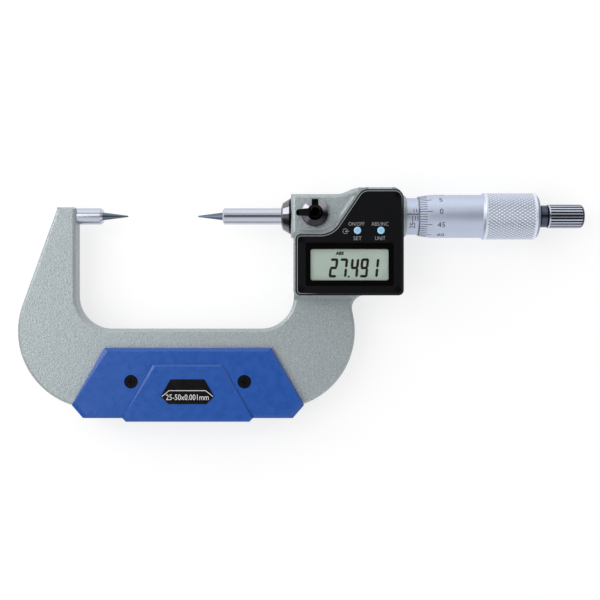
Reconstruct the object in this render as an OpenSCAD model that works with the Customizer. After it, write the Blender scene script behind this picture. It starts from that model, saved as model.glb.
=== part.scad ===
// Digital point micrometer, lying on its back with the display up.
// Drawn with X along the measuring axis from the anvil's tip, Y across the bow and Z towards
// the display, then moved so that the origin is the middle of the base it lies on.

/* [Measuring range] */
// Opening between the points as drawn
reading = 27.491; // [25:0.001:50]
// Smallest opening
range_low = 25; // [22:0.5:30]
// Travel of the spindle
travel = 25; // [20:0.5:26]

/* [Anvil and spindle] */
// Diameter of the anvil and of the spindle's stem
stem_d = 6.5; // [6:0.05:7]
// Length of each carbide point
point_len = 9.9; // [8:0.1:12]
// Included angle of the points
point_angle = 15; // [12:1:20]
// Radius of the points' tips
tip_r = 0.3; // [0.2:0.05:0.4]
// Length of the anvil that stands out of the frame
anvil_len = 10.1; // [8:0.1:13]
// Diameter of the anvil's shank in the frame
shank_d = 4.5; // [3.5:0.1:5]
// Length of the anvil's shank
shank_len = 5.5; // [4:0.1:6]
// Small bevel at the end of a stem
stem_bevel = 0.6; // [0.3:0.1:0.8]
// Outer diameter of the spindle's screw thread
screw_d = 7.2; // [6.9:0.05:7.6]
// Width of the spindle's keyway
keyway_w = 1.2; // [1:0.05:1.5]
// Depth of the spindle's keyway
keyway_depth = 1.1; // [0.8:0.05:1.4]

/* [Bow] */
// Thickness of the bow
bow_t = 9.5; // [8:0.1:11]
// Depth of the throat below the measuring axis
throat_depth = 44.45; // [40:0.5:50]
// Radius of the throat's lower corners
throat_r = 12.9; // [8:0.1:15]
// Width of the bow under the throat
bow_bottom_w = 31.25; // [29:0.25:36]
// Radius of the bow's outer lower corners
bow_r = 30.3; // [26:0.1:31]
// Width of the anvil's limb, at its widest
limb_w = 22.9; // [20:0.1:26]
// Lean of the limb's outer side
limb_lean = 19.9; // [17:0.1:21]
// How far the top of the limb stands above the measuring axis
limb_top = 3.3; // [3.3:0.05:4]
// How far the bow's right corner stands past the throat
heel_w = 23.9; // [22:0.1:26]
// Lean of the neck between the bow's right corner and the housing
neck_lean = 13; // [10:0.5:15]
// Radius of the neck
neck_r = 5; // [4:0.1:5.5]
// Rounding of the bow's edges
bow_edge_r = 1.2; // [0.6:0.1:1.8]

/* [Barrel boss and housing] */
// Half height and half thickness of the barrel boss
boss_half = 8.2; // [8.2:0.1:8.8]
// Length of the boss, from its nose to the sleeve
boss_len = 45.25; // [45.25:0.25:48]
// Rounding of the boss's edges
boss_edge_r = 1.6; // [0.8:0.1:2]
// Distance from the readable glass to the cover's left and right edges
cover_side = 5.8; // [5.8:0.05:6.4]
// Height of the display cover
cover_h = 40.8; // [40.8:0.1:42]
// How far the cover reaches above the measuring axis
cover_top = 9.5; // [9.5:0.1:10]
// Thickness of the display cover
cover_t = 3.2; // [3.2:0.1:4]
// Corner radius of the cover
cover_r = 2; // [1:0.1:2.4]
// Radius of the cover's upper right corner
cover_top_r = 3.4; // [2:0.1:3.8]
// Bevel round the cover's face
cover_bevel = 0.45; // [0.2:0.05:0.6]
// Height of the cover's left part, from its lower edge
cover_step_h = 23.5; // [23.5:0.1:23.9]
// Width of the cover's left part, up to the foot of its slope
cover_step_w = 14; // [13:0.1:15]
// Angle of the slope beside the clamp
slope_angle = 56.2; // [50:0.5:60]
// Radius at the foot of the slope
slope_foot_r = 8.4; // [6:0.1:9]
// Radius at the head of the slope
slope_head_r = 4.3; // [3:0.1:5]
// Width of the casting's rim beside the cover
rim_w = 0.8; // [0.5:0.1:1]
// Height of the casting's rim above the measuring axis, towards the display
rim_z = 10; // [9.8:0.1:10.5]
// Depth of the housing's back below the measuring axis
back_z = 9.25; // [9:0.05:9.6]
// Inset of the cover's screws from its edges
cover_screw_inset = 2.3; // [2.2:0.05:2.6]
// Diameter of the cover's screw heads
cover_screw_d = 2.1; // [1.8:0.1:2.4]

/* [Display and buttons] */
// Width of the window's pane
pane_w = 33.8; // [33:0.1:34]
// Height of the window's pane
pane_h = 16.6; // [16:0.1:17]
// Width of the readable glass
view_w = 30; // [28:0.1:31]
// Height of the readable glass
view_h = 12; // [11:0.1:13]
// Thickness of the pane
pane_t = 0.8; // [0.6:0.1:1]
// Thickness of the display panel
panel_t = 2.1; // [1.8:0.1:2.3]
// Diameter of the buttons
button_d = 2.8; // [2.4:0.1:3.2]
// Distance between the buttons
button_pitch = 9; // [8:0.1:10]
// How far a button stands out of the cover
button_proud = 0.35; // [0.2:0.05:0.5]
// How far a button travels
button_travel = 0.5; // [0.3:0.05:0.5]
// Thickness of the circuit board
board_t = 0.8; // [0.6:0.1:1]

/* [Clamp] */
// Distance of the clamp behind the boss's nose
clamp_x = 9.3; // [9:0.1:10]
// Diameter of the clamp's disc
clamp_d = 10.7; // [9:0.1:11]
// Reach of the clamp's fin from its axis
clamp_reach = 7.3; // [6.5:0.1:8]
// Height of the clamp above the boss
clamp_h = 4.6; // [4:0.1:5]
// Diameter of the clamp's screw
clamp_screw_d = 4; // [3.5:0.1:4.5]

/* [Sleeve and thimble] */
// Diameter of the graduated sleeve
sleeve_d = 14.5; // [14:0.05:14.6]
// Bore of the sleeve
sleeve_bore = 12; // [11.8:0.05:12.2]
// Gap between the boss and the thimble at the smallest opening
thimble_gap = 2.1; // [1.5:0.1:3]
// Diameter of the thimble's barrel
thimble_d = 17; // [16.6:0.1:17.5]
// Diameter of the thimble's front edge
thimble_edge_d = 15.4; // [15.4:0.05:15.8]
// Length of the thimble's bevel
thimble_bevel_len = 5.3; // [4:0.1:7]
// Length of the thimble's barrel in front of its grip
barrel_len = 25.2; // [20:0.1:30]
// Diameter of the thimble's grip
grip_d = 18.5; // [17.6:0.1:18.5]
// Length of the thimble's grip
grip_len = 22.1; // [20:0.1:26]
// Bevel at the grip's outer end
grip_bevel = 1.3; // [0.6:0.1:1.8]
// Length of the nut in the inner sleeve
nut_len = 15; // [12:0.5:16]
// Diameter of the split end that the adjusting nut closes
split_d = 10; // [9.6:0.1:10.4]

/* [Ratchet] */
// Diameter of the ratchet's neck
neck_d = 8.7; // [8.2:0.1:9]
// Length of the ratchet's neck
neck_len = 3.75; // [2:0.05:4]
// Diameter of the ratchet's knob
knob_d = 9.4; // [9.2:0.1:10.4]
// Length of the ratchet's knob
knob_len = 14.4; // [14.2:0.1:17]
// Number of flutes round the knob
flutes = 24; // [18:1:30]
// Number of ratchet teeth
ratchet_teeth = 24; // [12:12:24]
// Height of a ratchet tooth
tooth_h = 0.35; // [0.25:0.05:0.35]
// Rounding of the knob's outer end
knob_end_r = 1.6; // [1:0.1:2]

/* [Insulating plates] */
// Thickness of a plate over the bow
plate_t = 2.5; // [2:0.1:3]
// Height of a plate's raised middle
plate_raise = 0.8; // [0.5:0.1:1]
// Width of a plate along its top
plate_top_w = 65.2; // [60:0.2:66]
// Width of a plate at its widest
plate_w = 90.6; // [88:0.2:92]
// Distance of a plate's top below the throat
plate_drop = 7.35; // [6:0.05:8]
// How far a plate reaches below the bow
plate_lip = 3.4; // [2.5:0.1:4]
// Width of a plate's bevel
plate_bevel = 1.3; // [0.8:0.1:1.6]
// Distance between a plate's screws
plate_screw_pitch = 44.1; // [42:0.1:46]
// Diameter of a plate's screw heads
plate_screw_d = 5; // [4.4:0.1:5.2]
// Width of the badge, at its widest
badge_w = 20.7; // [18:0.1:21]
// Width of the badge's top
badge_top_w = 13.1; // [11:0.1:14]
// Width of the badge's foot
badge_low_w = 14.8; // [12:0.1:16]
// Height of the badge
badge_h = 9.5; // [8:0.1:10]
// Thickness of the badge
badge_t = 0.25; // [0.2:0.05:0.5]
// Distance of the badge below the top of the plate's raised middle
badge_drop = 5.75; // [5:0.05:7]

/* [Clearances] */
// Gap round pieces that are pressed or screwed together
fit = 0.02; // [0.01:0.01:0.04]
// Running gap round pieces that turn or slide
run = 0.05; // [0.03:0.01:0.06]

/* [Hidden] */
$fn = 64;

// Past what a cut has to clear
over = 1;
// Step that keeps the surfaces of neighbouring cuts apart
hair = 0.02;
stem_r = stem_d / 2;
opened = reading - range_low;

// Places along the measuring axis that belong to the frame
limb_x = -point_len - anvil_len;
nose_x = range_low + travel + point_len + stem_bevel;
collar_len = 3.85;
collar_r = 7.3;
collar_nose_r = 5.1;
collar_tip_r = 3.75;
collar_plug_r = 4.5;
boss_x = nose_x + collar_len;
boss_end = boss_x + boss_len;
bearing_x = boss_x + 4.15;
encoder_back = 22.65;
encoder_x = boss_end - encoder_back;
stator_t = 1.4;
rotor_x = encoder_x + stator_t + 0.4;
rotor_t = 1.4;
rotor_hub_len = 4.3;
rotor_end = rotor_x + rotor_t + rotor_hub_len;
inner_x = rotor_x + rotor_t + 0.4;
sleeve_x = boss_end - 13.5;
sleeve_end = boss_end + thimble_gap + travel + 0.3;
inner_end = sleeve_end + 2;
nut_x = inner_end - nut_len;
key_x = rotor_x + rotor_t + 2;

// Places that move with the spindle
point_base_x = reading + point_len;
thimble_x = boss_end + thimble_gap + opened;
grip_x = thimble_x + barrel_len;
thimble_end = grip_x + grip_len;
thimble_wall = 10;
screw_x = nut_x - travel - over + opened;
screw_end = inner_end + over + opened;
taper_x = thimble_end - thimble_wall;
spindle_end = thimble_end - 1.5;
neck_end = thimble_end + neck_len;
knob_x = neck_end + run;
knob_end = knob_x + knob_len;

// Cones of the points: the cone's own apex lies behind the rounded tip
half_angle = point_angle / 2;
tip_back = tip_r / sin(half_angle) - tip_r;
point_base_r = (point_len + tip_back) * tan(half_angle);

// Bow
bow_bottom = -throat_depth - bow_bottom_w;
throat_x1 = boss_x + 1.15;
bow_left_c = limb_x - limb_w + bow_r;
bow_right_c = throat_x1 + heel_w - bow_r;
bow_c_y = bow_bottom + bow_r;
lean_out = (1 + sin(limb_lean)) / cos(limb_lean);
heel_out = (1 + sin(neck_lean)) / cos(neck_lean);

// Housing and cover
cover_w = view_w + 2 * cover_side;
cover_x0 = boss_x + 1.75;
cover_x1 = cover_x0 + cover_w;
cover_y1 = cover_top;
cover_y0 = cover_top - cover_h;
step_y = cover_y0 + cover_step_h;
cover_z = rim_z + cover_t;
casting_x0 = cover_x0 - rim_w;
casting_x1 = cover_x1 - 0.1;
casting_y0 = cover_y0 + 0.1;
casting_y1 = cover_y1 + 1.1;
slope_run = (cover_y1 - step_y) / tan(slope_angle);
// The rim follows the slope at its own width, so its corners move along by the half angle
rim_shift = rim_w * tan(slope_angle / 2);
rim_rise = (casting_y1 - cover_y1 - rim_w) / tan(slope_angle);
bow_face = bow_t / 2;

bow_path = [
    [bow_left_c - bow_r * lean_out, bow_bottom, bow_r],
    [bow_right_c + bow_r * heel_out, bow_bottom, bow_r],
    [bow_right_c + (bow_r - (casting_y0 - bow_c_y) * sin(neck_lean)) / cos(neck_lean), casting_y0,
        neck_r],
    [casting_x1 - 3, casting_y0, 0],
    [casting_x1 - 3, casting_y0 + 6, 0],
    [throat_x1, casting_y0 + 6, 0],
    [throat_x1, -throat_depth, throat_r],
    [limb_x, -throat_depth, throat_r],
    [limb_x, limb_top, 0.8],
    [bow_left_c - (bow_r - (limb_top - bow_c_y) * sin(limb_lean)) / cos(limb_lean), limb_top, 0.8]];

cover_path = [
    [cover_x0, cover_y0, cover_r],
    [cover_x1, cover_y0, cover_r],
    [cover_x1, cover_y1, cover_top_r],
    [cover_x0 + cover_step_w + slope_run, cover_y1, slope_head_r],
    [cover_x0 + cover_step_w, step_y, slope_foot_r],
    [cover_x0, step_y, cover_r]];

casting_path = [
    [casting_x0, casting_y0, cover_r],
    [casting_x1, casting_y0, cover_r],
    [casting_x1, casting_y1, cover_top_r + 0.6],
    [cover_x0 + cover_step_w + slope_run - rim_shift + rim_rise, casting_y1, slope_head_r + rim_w],
    [cover_x0 + cover_step_w - rim_shift, step_y + rim_w, slope_foot_r - rim_w],
    [casting_x0, step_y + rim_w, cover_r]];

boss_top_x = cover_x0 + cover_step_w + slope_run;
boss_path = [
    [boss_x, -boss_half, 0],
    [boss_top_x + 4, -boss_half, 0],
    [boss_top_x + 4, casting_y1, 0],
    [boss_top_x - 2.5, casting_y1, 6],
    [boss_top_x - 7.9, boss_half, 9],
    [boss_x, boss_half, 0]];

// Display, centred across the cover
display_up = 11.95;
view_up = 11.8;
pane_x = cover_x0 + cover_w / 2;
pane_y = cover_y0 + display_up;
view_x = pane_x;
view_y = cover_y0 + view_up;
pane_recess = 0.2;
cover_ceiling = cover_z - 1.7;
panel_top = cover_ceiling - 0.1;
panel_bottom = panel_top - panel_t;
panel_w = view_w + 2.3;
panel_h = view_h + 3.4;
strip_w = 1.1;

// Electronics pocket, an L round the display panel, with its upper arm under the buttons
buttons_across = 28.3;
buttons_up = 24.9;
button_x = cover_x0 + buttons_across;
button_y = cover_y0 + buttons_up;
panel_side_room = 0.45;
panel_low_room = 1.15;
panel_top_room = 0.65;
button_side_room = 4.6;
button_top_room = 2.8;
pocket_corner = 1.5;
pocket_x0 = pane_x - panel_w / 2 - panel_side_room;
pocket_x1 = pane_x + panel_w / 2 + panel_side_room;
pocket_y0 = pane_y - panel_h / 2 - panel_low_room;
pocket_y1 = pane_y + panel_h / 2 + panel_top_room;
pocket_arm_x = button_x - button_pitch / 2 - button_side_room;
pocket_arm_y = button_y + button_top_room;
board_drop = 2.4;
board_z = rim_z - board_drop;
board_top = board_z + board_t;
pocket_floor = 0.5;
ledge_w = 1.4;

// Buttons
button_flange_r = button_d / 2 + 0.7;
button_stem_r = 1.2;
button_stem_z = board_top + button_travel + 0.4;
button_flange_t = 0.55;

// Battery and its lid, in the back
battery_x = (cover_x0 + cover_x1) / 2;
battery_y = cover_y0 + 12;
battery_d = 11.6;
battery_t = 5.4;
lid_w = 25;
lid_h = 15;
lid_t = 1.1;
lid_screw_x = 10.2;
battery_z = -back_z + lid_t + 0.1;
contact_t = 0.3;
battery_room_z = battery_z + battery_t + contact_t;
seal_t = 0.5;

// Clamp, set a little above the spindle's middle
clamp_axis_x = boss_x + clamp_x;
clamp_axis_y = 0.8;
pad_z = stem_r + 0.1;
pad_t = 1.2;
clamp_z = boss_half + 0.1;

// Plates
plate_corner_w = 4.4;
plate_corner_h = 5.1;
raised_w = 50.8;
raised_top_w = 26.8;
raised_corner = 1.4;
raised_drop = 6.35;
raised_lip = 1.3;
plate_screw_drop = 13.05;
plate_x = (bow_left_c + bow_right_c) / 2 + 0.9;
plate_y1 = -throat_depth - plate_drop;
plate_y0 = bow_bottom - plate_lip;
plate_face = bow_face + plate_t;
plate_foot = plate_w / 2 - plate_corner_w;
raised_top_y = plate_y1 - raised_drop;
raised_y0 = plate_y0 - raised_lip;
raised_foot = raised_w / 2 - raised_corner;
plate_outline = [
    [plate_x - plate_foot, plate_y0], [plate_x + plate_foot, plate_y0],
    [plate_x + plate_w / 2, plate_y0 + plate_corner_h], [plate_x + plate_top_w / 2, plate_y1],
    [plate_x - plate_top_w / 2, plate_y1], [plate_x - plate_w / 2, plate_y0 + plate_corner_h]];
raised_outline = [
    [plate_x - raised_foot, raised_y0], [plate_x + raised_foot, raised_y0],
    [plate_x + raised_w / 2, raised_y0 + raised_corner], [plate_x + raised_top_w / 2, raised_top_y],
    [plate_x - raised_top_w / 2, raised_top_y], [plate_x - raised_w / 2, raised_y0 + raised_corner]];

// Screws of the plates, whose thread ends short of the bow's middle
plate_screw_y = plate_y1 - plate_screw_drop;
plate_screw_sunk = 1.6;
plate_screw_head = 1.2;
plate_screw_len = 5.1;
plate_thread_r = 1.25;
plate_screw_seat = plate_face - plate_screw_sunk;
plate_screw_end = plate_screw_seat - plate_screw_len;
plate_hole_end = plate_screw_end - 0.25;

// Middle of the base, below the box that holds everything
part_x0 = bow_left_c - bow_r;
part_x1 = knob_end;
part_y0 = raised_y0;
part_y1 = max(casting_y1, grip_d / 2);
part_z0 = -max(back_z, grip_d / 2, plate_face + plate_raise);

// Colours
paint = "#a9aeac";
steel = "#b9bcc4";
carbide = "#3f4650";
dark_chrome = "#2b2b30";
satin_chrome = "#b7c0d4";
black_plastic = "#15171b";
blue_plastic = "#2d58aa";
button_blue = "#79bdf5";
board_green = "#1f5c3a";
brass = "#c2a353";
rubber = "#1d1d1d";

module placed() {
    translate([-(part_x0 + part_x1) / 2, -(part_y0 + part_y1) / 2, -part_z0]) children();
}

// Revolves an outline of [place along X, radius] points about the measuring axis
module turned(outline) {
    rotate([0, 90, 0]) rotate_extrude() polygon([for (p = outline) [p[1], p[0]]]);
}

module rod(x0, x1, r) {
    translate([x0, 0, 0]) rotate([0, 90, 0]) cylinder(r = r, h = x1 - x0);
}

module post(x, y, z0, z1, r) {
    translate([x, y, z0]) cylinder(r = r, h = z1 - z0);
}

module block(x0, x1, y0, y1, z0, z1) {
    translate([x0, y0, z0]) cube([x1 - x0, y1 - y0, z1 - z0]);
}

// A path is a list of corners [x, y, radius], counter-clockwise round the material. Each arc starts
// and ends where a tangent one would, but is a shade flatter, so that it meets its sides at an angle.
function xy(v) = [v[0], v[1]];
function unit(v) = v / norm(v);
function left_of(u) = [-u[1], u[0]];
function angle_of(v) = atan2(v[1], v[0]);
function before(path, i) = xy(path[(i + len(path) - 1) % len(path)]);
function after(path, i) = xy(path[(i + 1) % len(path)]);
function heading_in(path, i) = unit(xy(path[i]) - before(path, i));
function heading_out(path, i) = unit(after(path, i) - xy(path[i]));
function turn(path, i) = let (a = heading_in(path, i), b = heading_out(path, i))
    atan2(a[0] * b[1] - a[1] * b[0], a * b);
function side(path, i) = sign(turn(path, i));
function tangent(path, i) = path[i][2] * tan(abs(turn(path, i)) / 2);
function arc_start(path, i) = xy(path[i]) - heading_in(path, i) * tangent(path, i);
function arc_end(path, i) = xy(path[i]) + heading_out(path, i) * tangent(path, i);
function kink(path, i) = 1.8 / sqrt(path[i][2]);
function sweep(path, i) = abs(turn(path, i)) - 2 * kink(path, i);
function arc_r(path, i) = path[i][2] * sin(abs(turn(path, i)) / 2) / sin(sweep(path, i) / 2);
function arc_centre(path, i) = (arc_start(path, i) + arc_end(path, i)) / 2
    + side(path, i) * left_of(unit(arc_end(path, i) - arc_start(path, i)))
    * arc_r(path, i) * cos(sweep(path, i) / 2);

// What lies between a corner and its arc, with a margin on the far side of the corner
module corner_web(path, i, z0, z1) {
    c = arc_centre(path, i);
    a = -side(path, i) * left_of(heading_in(path, i));
    b = -side(path, i) * left_of(heading_out(path, i));
    past = arc_r(path, i) * sin(kink(path, i));
    difference() {
        translate([0, 0, z0]) linear_extrude(z1 - z0) polygon([c,
            arc_start(path, i) - heading_in(path, i) * past,
            arc_start(path, i) - heading_in(path, i) * past + a * over,
            xy(path[i]) + (a + b) * over / (1 + a * b),
            arc_end(path, i) + heading_out(path, i) * past + b * over,
            arc_end(path, i) + heading_out(path, i) * past]);
        post(c[0], c[1], z0 - over, z1 + over, arc_r(path, i));
    }
}

module slab(path, z0, z1) {
    difference() {
        union() {
            translate([0, 0, z0]) linear_extrude(z1 - z0) polygon([for (v = path) xy(v)]);
            for (i = [0:len(path) - 1])
                if (path[i][2] > 0 && side(path, i) < 0) corner_web(path, i, z0, z1);
        }
        for (i = [0:len(path) - 1])
            if (path[i][2] > 0 && side(path, i) > 0)
                corner_web(path, i, z0 - over, z1 + over);
    }
}

// Carries a section, drawn as [outward, z], along one straight side of a path and a hair past it
module along_side(path, i) {
    a = arc_end(path, i);
    b = arc_start(path, (i + 1) % len(path));
    translate([a[0], a[1], 0]) rotate([0, 0, angle_of(b - a)]) translate([-hair, 0, 0])
        rotate([90, 0, 90]) linear_extrude(norm(b - a) + 2 * hair) mirror([1, 0]) children();
}

// Carries the same section round one corner of a path, a hair deeper
module along_corner(path, i) {
    c = arc_centre(path, i);
    convex = side(path, i) > 0;
    start = convex ? arc_start(path, i) : arc_end(path, i);
    past = hair * 90 / (PI * arc_r(path, i));
    translate([c[0], c[1], 0]) rotate([0, 0, angle_of(start - c) - past])
        rotate_extrude(angle = sweep(path, i) + 2 * past)
            translate([arc_r(path, i) - side(path, i) * hair, 0])
                mirror([convex ? 0 : 1, 0]) children();
}

module along_path(path, sides, corners) {
    for (i = sides) along_side(path, i) children();
    for (i = corners) along_corner(path, i) children();
}

// Section that rounds an edge at height z; face is 1 for an upper edge and -1 for a lower one.
// Its arc is a little flatter than a tangent one, and ends r from the edge both ways.
module round_section(r, z, face) {
    flatter = 1.25 * r;
    back = r / 2 + sqrt((flatter * flatter - r * r / 2) / 2);
    reach = 1.15 * r;
    difference() {
        translate([-reach, face > 0 ? z - reach : z - over]) square([reach + over, reach + over]);
        translate([-back, z - face * back]) circle(flatter);
    }
}

// Section that bevels an edge at height z, clear of the part by the nick
module bevel_section(c, z, face) {
    nick = 0.3;
    polygon([[-c - nick, z + face * nick], [nick, z - face * (c + nick)], [nick, z + face * nick]]);
}

module bow() {
    difference() {
        slab(bow_path, -bow_face, bow_face);
        for (face = [1, -1])
            along_path(bow_path, [0, 1, 5, 6, 7, 8, 9], [0, 1, 2, 6, 7])
                round_section(bow_edge_r, face * bow_face, face);
    }
}

module boss() {
    difference() {
        slab(boss_path, -boss_half, boss_half);
        for (face = [1, -1])
            along_path(boss_path, [0, 3, 4, 5], [3, 4])
                round_section(boss_edge_r, face * boss_half, face);
    }
    turned([[boss_end - 14, 0], [boss_end, 0], [boss_end, boss_half - 0.6],
        [boss_end - 0.6, boss_half], [boss_end - 14, boss_half]]);
}

// Sloped foot of the rim, on the boss's face, as far as the face is flat
module rim_foot(face, top) {
    wall = 0.3;
    rise = top - boss_half;
    intersection() {
        along_path(casting_path, [3, 4], [4])
            polygon([[-over, face * (boss_half - over)], [-over, face * (top - wall)],
                [-0.1, face * (top - wall)], [rise * 0.6, face * boss_half],
                [rise * 0.6 + 0.1, face * (boss_half - over)]]);
        block(casting_x0 + 2.2, boss_top_x + 2, step_y - 2, boss_half - 0.7 * boss_edge_r,
            -back_z, rim_z);
    }
}

module casting() {
    difference() {
        slab(casting_path, -back_z, rim_z);
        along_path(casting_path, [2, 5], [])
            bevel_section(rim_w - 0.1, rim_z, 1);
        along_path(casting_path, [0, 1, 2, 3, 4, 5], [0, 1, 2, 3, 4, 5])
            bevel_section(0.5, -back_z, -1);
    }
    rim_foot(1, rim_z);
    rim_foot(-1, back_z);
    // Sloped foot where the bow's faces meet the housing
    for (face = [1, -1])
        translate([throat_x1, 0, 0]) rotate([90, 0, 90])
            linear_extrude(bow_path[2][0] - throat_x1 + 2)
                polygon([[casting_y0 + over, face * (bow_face - over)],
                    [casting_y0 - 1.6, face * (bow_face - over)], [casting_y0 - 1.6, face * bow_face],
                    [casting_y0, face * (back_z - 0.7)], [casting_y0 + over, face * (back_z - 0.7)]]);
}

module pocket_shape(grow, z0, z1) {
    translate([0, 0, z0]) linear_extrude(z1 - z0) polygon([
        [pocket_x0 - grow, pocket_y0 - grow + pocket_corner],
        [pocket_x0 - grow + pocket_corner, pocket_y0 - grow],
        [pocket_x1 + grow - pocket_corner, pocket_y0 - grow],
        [pocket_x1 + grow, pocket_y0 - grow + pocket_corner],
        [pocket_x1 + grow, pocket_arm_y + grow], [pocket_arm_x - grow, pocket_arm_y + grow],
        [pocket_arm_x - grow, pocket_y1 + grow], [pocket_x0 - grow, pocket_y1 + grow]]);
}

// Bores on the measuring axis
module axis_bores() {
    bore_end = max(boss_end, casting_x1) + over;
    turned([[boss_x - over, 0], [boss_x - over, collar_plug_r], [bearing_x, collar_plug_r],
        [bearing_x, stem_r + fit], [encoder_x, stem_r + fit],
        [encoder_x, sleeve_d / 2 + fit], [bore_end, sleeve_d / 2 + fit], [bore_end, 0]]);
    rod(limb_x - shank_len - 0.3, limb_x + over, shank_d / 2 + fit);
}

module cover_screw_places() {
    x0 = cover_x0 + cover_screw_inset;
    x1 = cover_x1 - cover_screw_inset;
    for (p = [[x0, cover_y0 + cover_screw_inset], [x0, step_y - cover_screw_inset],
            [x1, cover_y0 + cover_screw_inset], [x1, cover_y1 - cover_screw_inset]])
        translate([p[0], p[1], 0]) children();
}

module plate_screw_places() {
    for (side = [-1, 1])
        translate([plate_x + side * plate_screw_pitch / 2, plate_screw_y, 0]) children();
}

module lid_screw_places() {
    for (side = [-1, 1]) translate([battery_x + side * lid_screw_x, battery_y, 0]) children();
}

module frame() {
    color(paint) placed() difference() {
        union() {
            bow();
            boss();
            casting();
        }
        axis_bores();
        post(clamp_axis_x, clamp_axis_y, 0, boss_half + over, clamp_screw_d / 2 + fit);
        pocket_shape(0, board_z, rim_z + over);
        block(pocket_x0 + ledge_w, pocket_x1 - ledge_w, pocket_y0 + ledge_w, pocket_y1 - ledge_w,
            pocket_floor, rim_z);
        difference() {
            pocket_shape(0.9, rim_z - 0.5, rim_z + over);
            pocket_shape(0.2, rim_z - over, rim_z + 2 * over);
        }
        cover_screw_places() translate([0, 0, rim_z - 4]) cylinder(r = 0.8, h = 4 + over);
        // Battery room, lid recess, seal groove, side contact and screw holes, from the back
        post(battery_x, battery_y, -back_z - over, battery_room_z, battery_d / 2 + 0.15);
        block(battery_x - lid_w / 2 - 0.1, battery_x + lid_w / 2 + 0.1, battery_y - lid_h / 2 - 0.1,
            battery_y + lid_h / 2 + 0.1, -back_z - over, -back_z + lid_t);
        post(battery_x, battery_y, -back_z, -back_z + lid_t + seal_t, battery_d / 2 + 1.1);
        block(battery_x - 1.6, battery_x + 1.6, battery_y - battery_d / 2 - 0.5, battery_y,
            -back_z, battery_room_z);
        lid_screw_places() translate([0, 0, -back_z]) cylinder(r = 0.8, h = lid_t + 3);
        for (face = [1, -1]) plate_screw_places()
            translate([0, 0, face > 0 ? plate_hole_end : -bow_face - over])
                cylinder(r = plate_thread_r + fit, h = bow_face + over - plate_hole_end);
    }
}

module cone_point(tip, side) {
    translate([tip, 0, 0]) mirror([side < 0 ? 1 : 0, 0, 0]) rotate([0, 90, 0]) rotate_extrude()
        difference() {
            union() {
                polygon([[0, tip_r * (1 - sin(half_angle))],
                    [tip_r * cos(half_angle), tip_r * (1 - sin(half_angle))],
                    [point_base_r, point_len], [0, point_len]]);
                translate([0, tip_r]) circle(tip_r);
            }
            translate([-over, -over]) square([over, point_len + 2 * over]);
        }
}

module anvil() {
    color(steel) placed() turned([[limb_x - shank_len, 0], [-point_len, 0],
        [-point_len, stem_r - 0.7], [-point_len - 0.9, stem_r], [limb_x, stem_r],
        [limb_x, shank_d / 2], [limb_x - shank_len, shank_d / 2]]);
}

module anvil_point() {
    color(carbide) placed() cone_point(0, -1);
}

module spindle_point() {
    color(carbide) placed() cone_point(reading, 1);
}

taper_r0 = 3.45;
taper_r1 = 3.05;

module spindle() {
    color(steel) placed() difference() {
        turned([[point_base_x, 0], [point_base_x, stem_r - 0.7],
            [point_base_x + stem_bevel, stem_r], [screw_x - 0.6, stem_r], [screw_x, screw_d / 2],
            [screw_end, screw_d / 2], [screw_end + 0.4, taper_r0], [taper_x, taper_r0],
            [spindle_end, taper_r1], [spindle_end, 0]]);
        block(key_x - travel - over + opened, key_x + over + opened, -keyway_w / 2, keyway_w / 2,
            stem_r - keyway_depth, stem_r + over);
        rod(taper_x - 3, spindle_end + over, 1.5 + fit);
    }
}

module nose_collar() {
    color(dark_chrome) placed() difference() {
        turned([[nose_x, 0], [nose_x, collar_tip_r], [nose_x + 0.5, collar_nose_r],
            [nose_x + 0.55, collar_nose_r + 0.2], [boss_x, collar_r], [boss_x, collar_plug_r - fit],
            [bearing_x - 0.1, collar_plug_r - fit], [bearing_x - 0.1, 0]]);
        rod(nose_x - over, bearing_x, stem_r + run);
        rod(nose_x + 1.4, nose_x + 2.5, stem_r + 0.8);
    }
}

module spindle_seal() {
    color(rubber) placed() difference() {
        rod(nose_x + 1.42, nose_x + 2.48, stem_r + 0.78);
        rod(nose_x, nose_x + 4, stem_r + run);
    }
}

// Disc with a dished face, a hub and a fin that the thumb pushes
module clamp_lever() {
    r = clamp_d / 2;
    hub_r = 2.3;
    fin_z = clamp_z + 1.1;
    top_z = clamp_z + clamp_h;
    color(dark_chrome) placed() translate([clamp_axis_x, clamp_axis_y, 0]) difference() {
        union() {
            rotate_extrude() polygon([[0, clamp_z], [r - 0.3, clamp_z], [r, clamp_z + 0.3],
                [r, clamp_z + 1.3], [r - 0.35, clamp_z + 1.75], [hub_r + 0.6, clamp_z + 2.3],
                [hub_r, clamp_z + 2.9], [hub_r - 0.25, top_z - 0.3], [hub_r - 0.6, top_z],
                [0, top_z]]);
            // The fin is the meeting of its plan and its side view
            intersection() {
                translate([0, 0, fin_z]) linear_extrude(top_z - fin_z) polygon([
                    [0, -hub_r + 0.6], [-clamp_reach + 0.6, -1.35], [-clamp_reach, -0.8],
                    [-clamp_reach, 0.5], [-clamp_reach + 0.6, 1.05], [0, hub_r - 0.6]]);
                translate([0, 3, 0]) rotate([90, 0, 0]) linear_extrude(6) polygon([
                    [0, fin_z], [-clamp_reach + 0.5, fin_z], [-clamp_reach, fin_z + 0.5],
                    [-clamp_reach, fin_z + 1.5], [-clamp_reach + 0.9, fin_z + 2.3],
                    [-hub_r, top_z - 0.5], [0, top_z - 0.2]]);
            }
        }
        translate([0, 0, clamp_z - over]) cylinder(r = 1.5 + fit, h = over + 2.4);
        translate([0, -0.5, top_z - 0.5]) cylinder(r1 = 0.8, r2 = 1.3, h = 0.5 + over / 2);
    }
}

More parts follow.
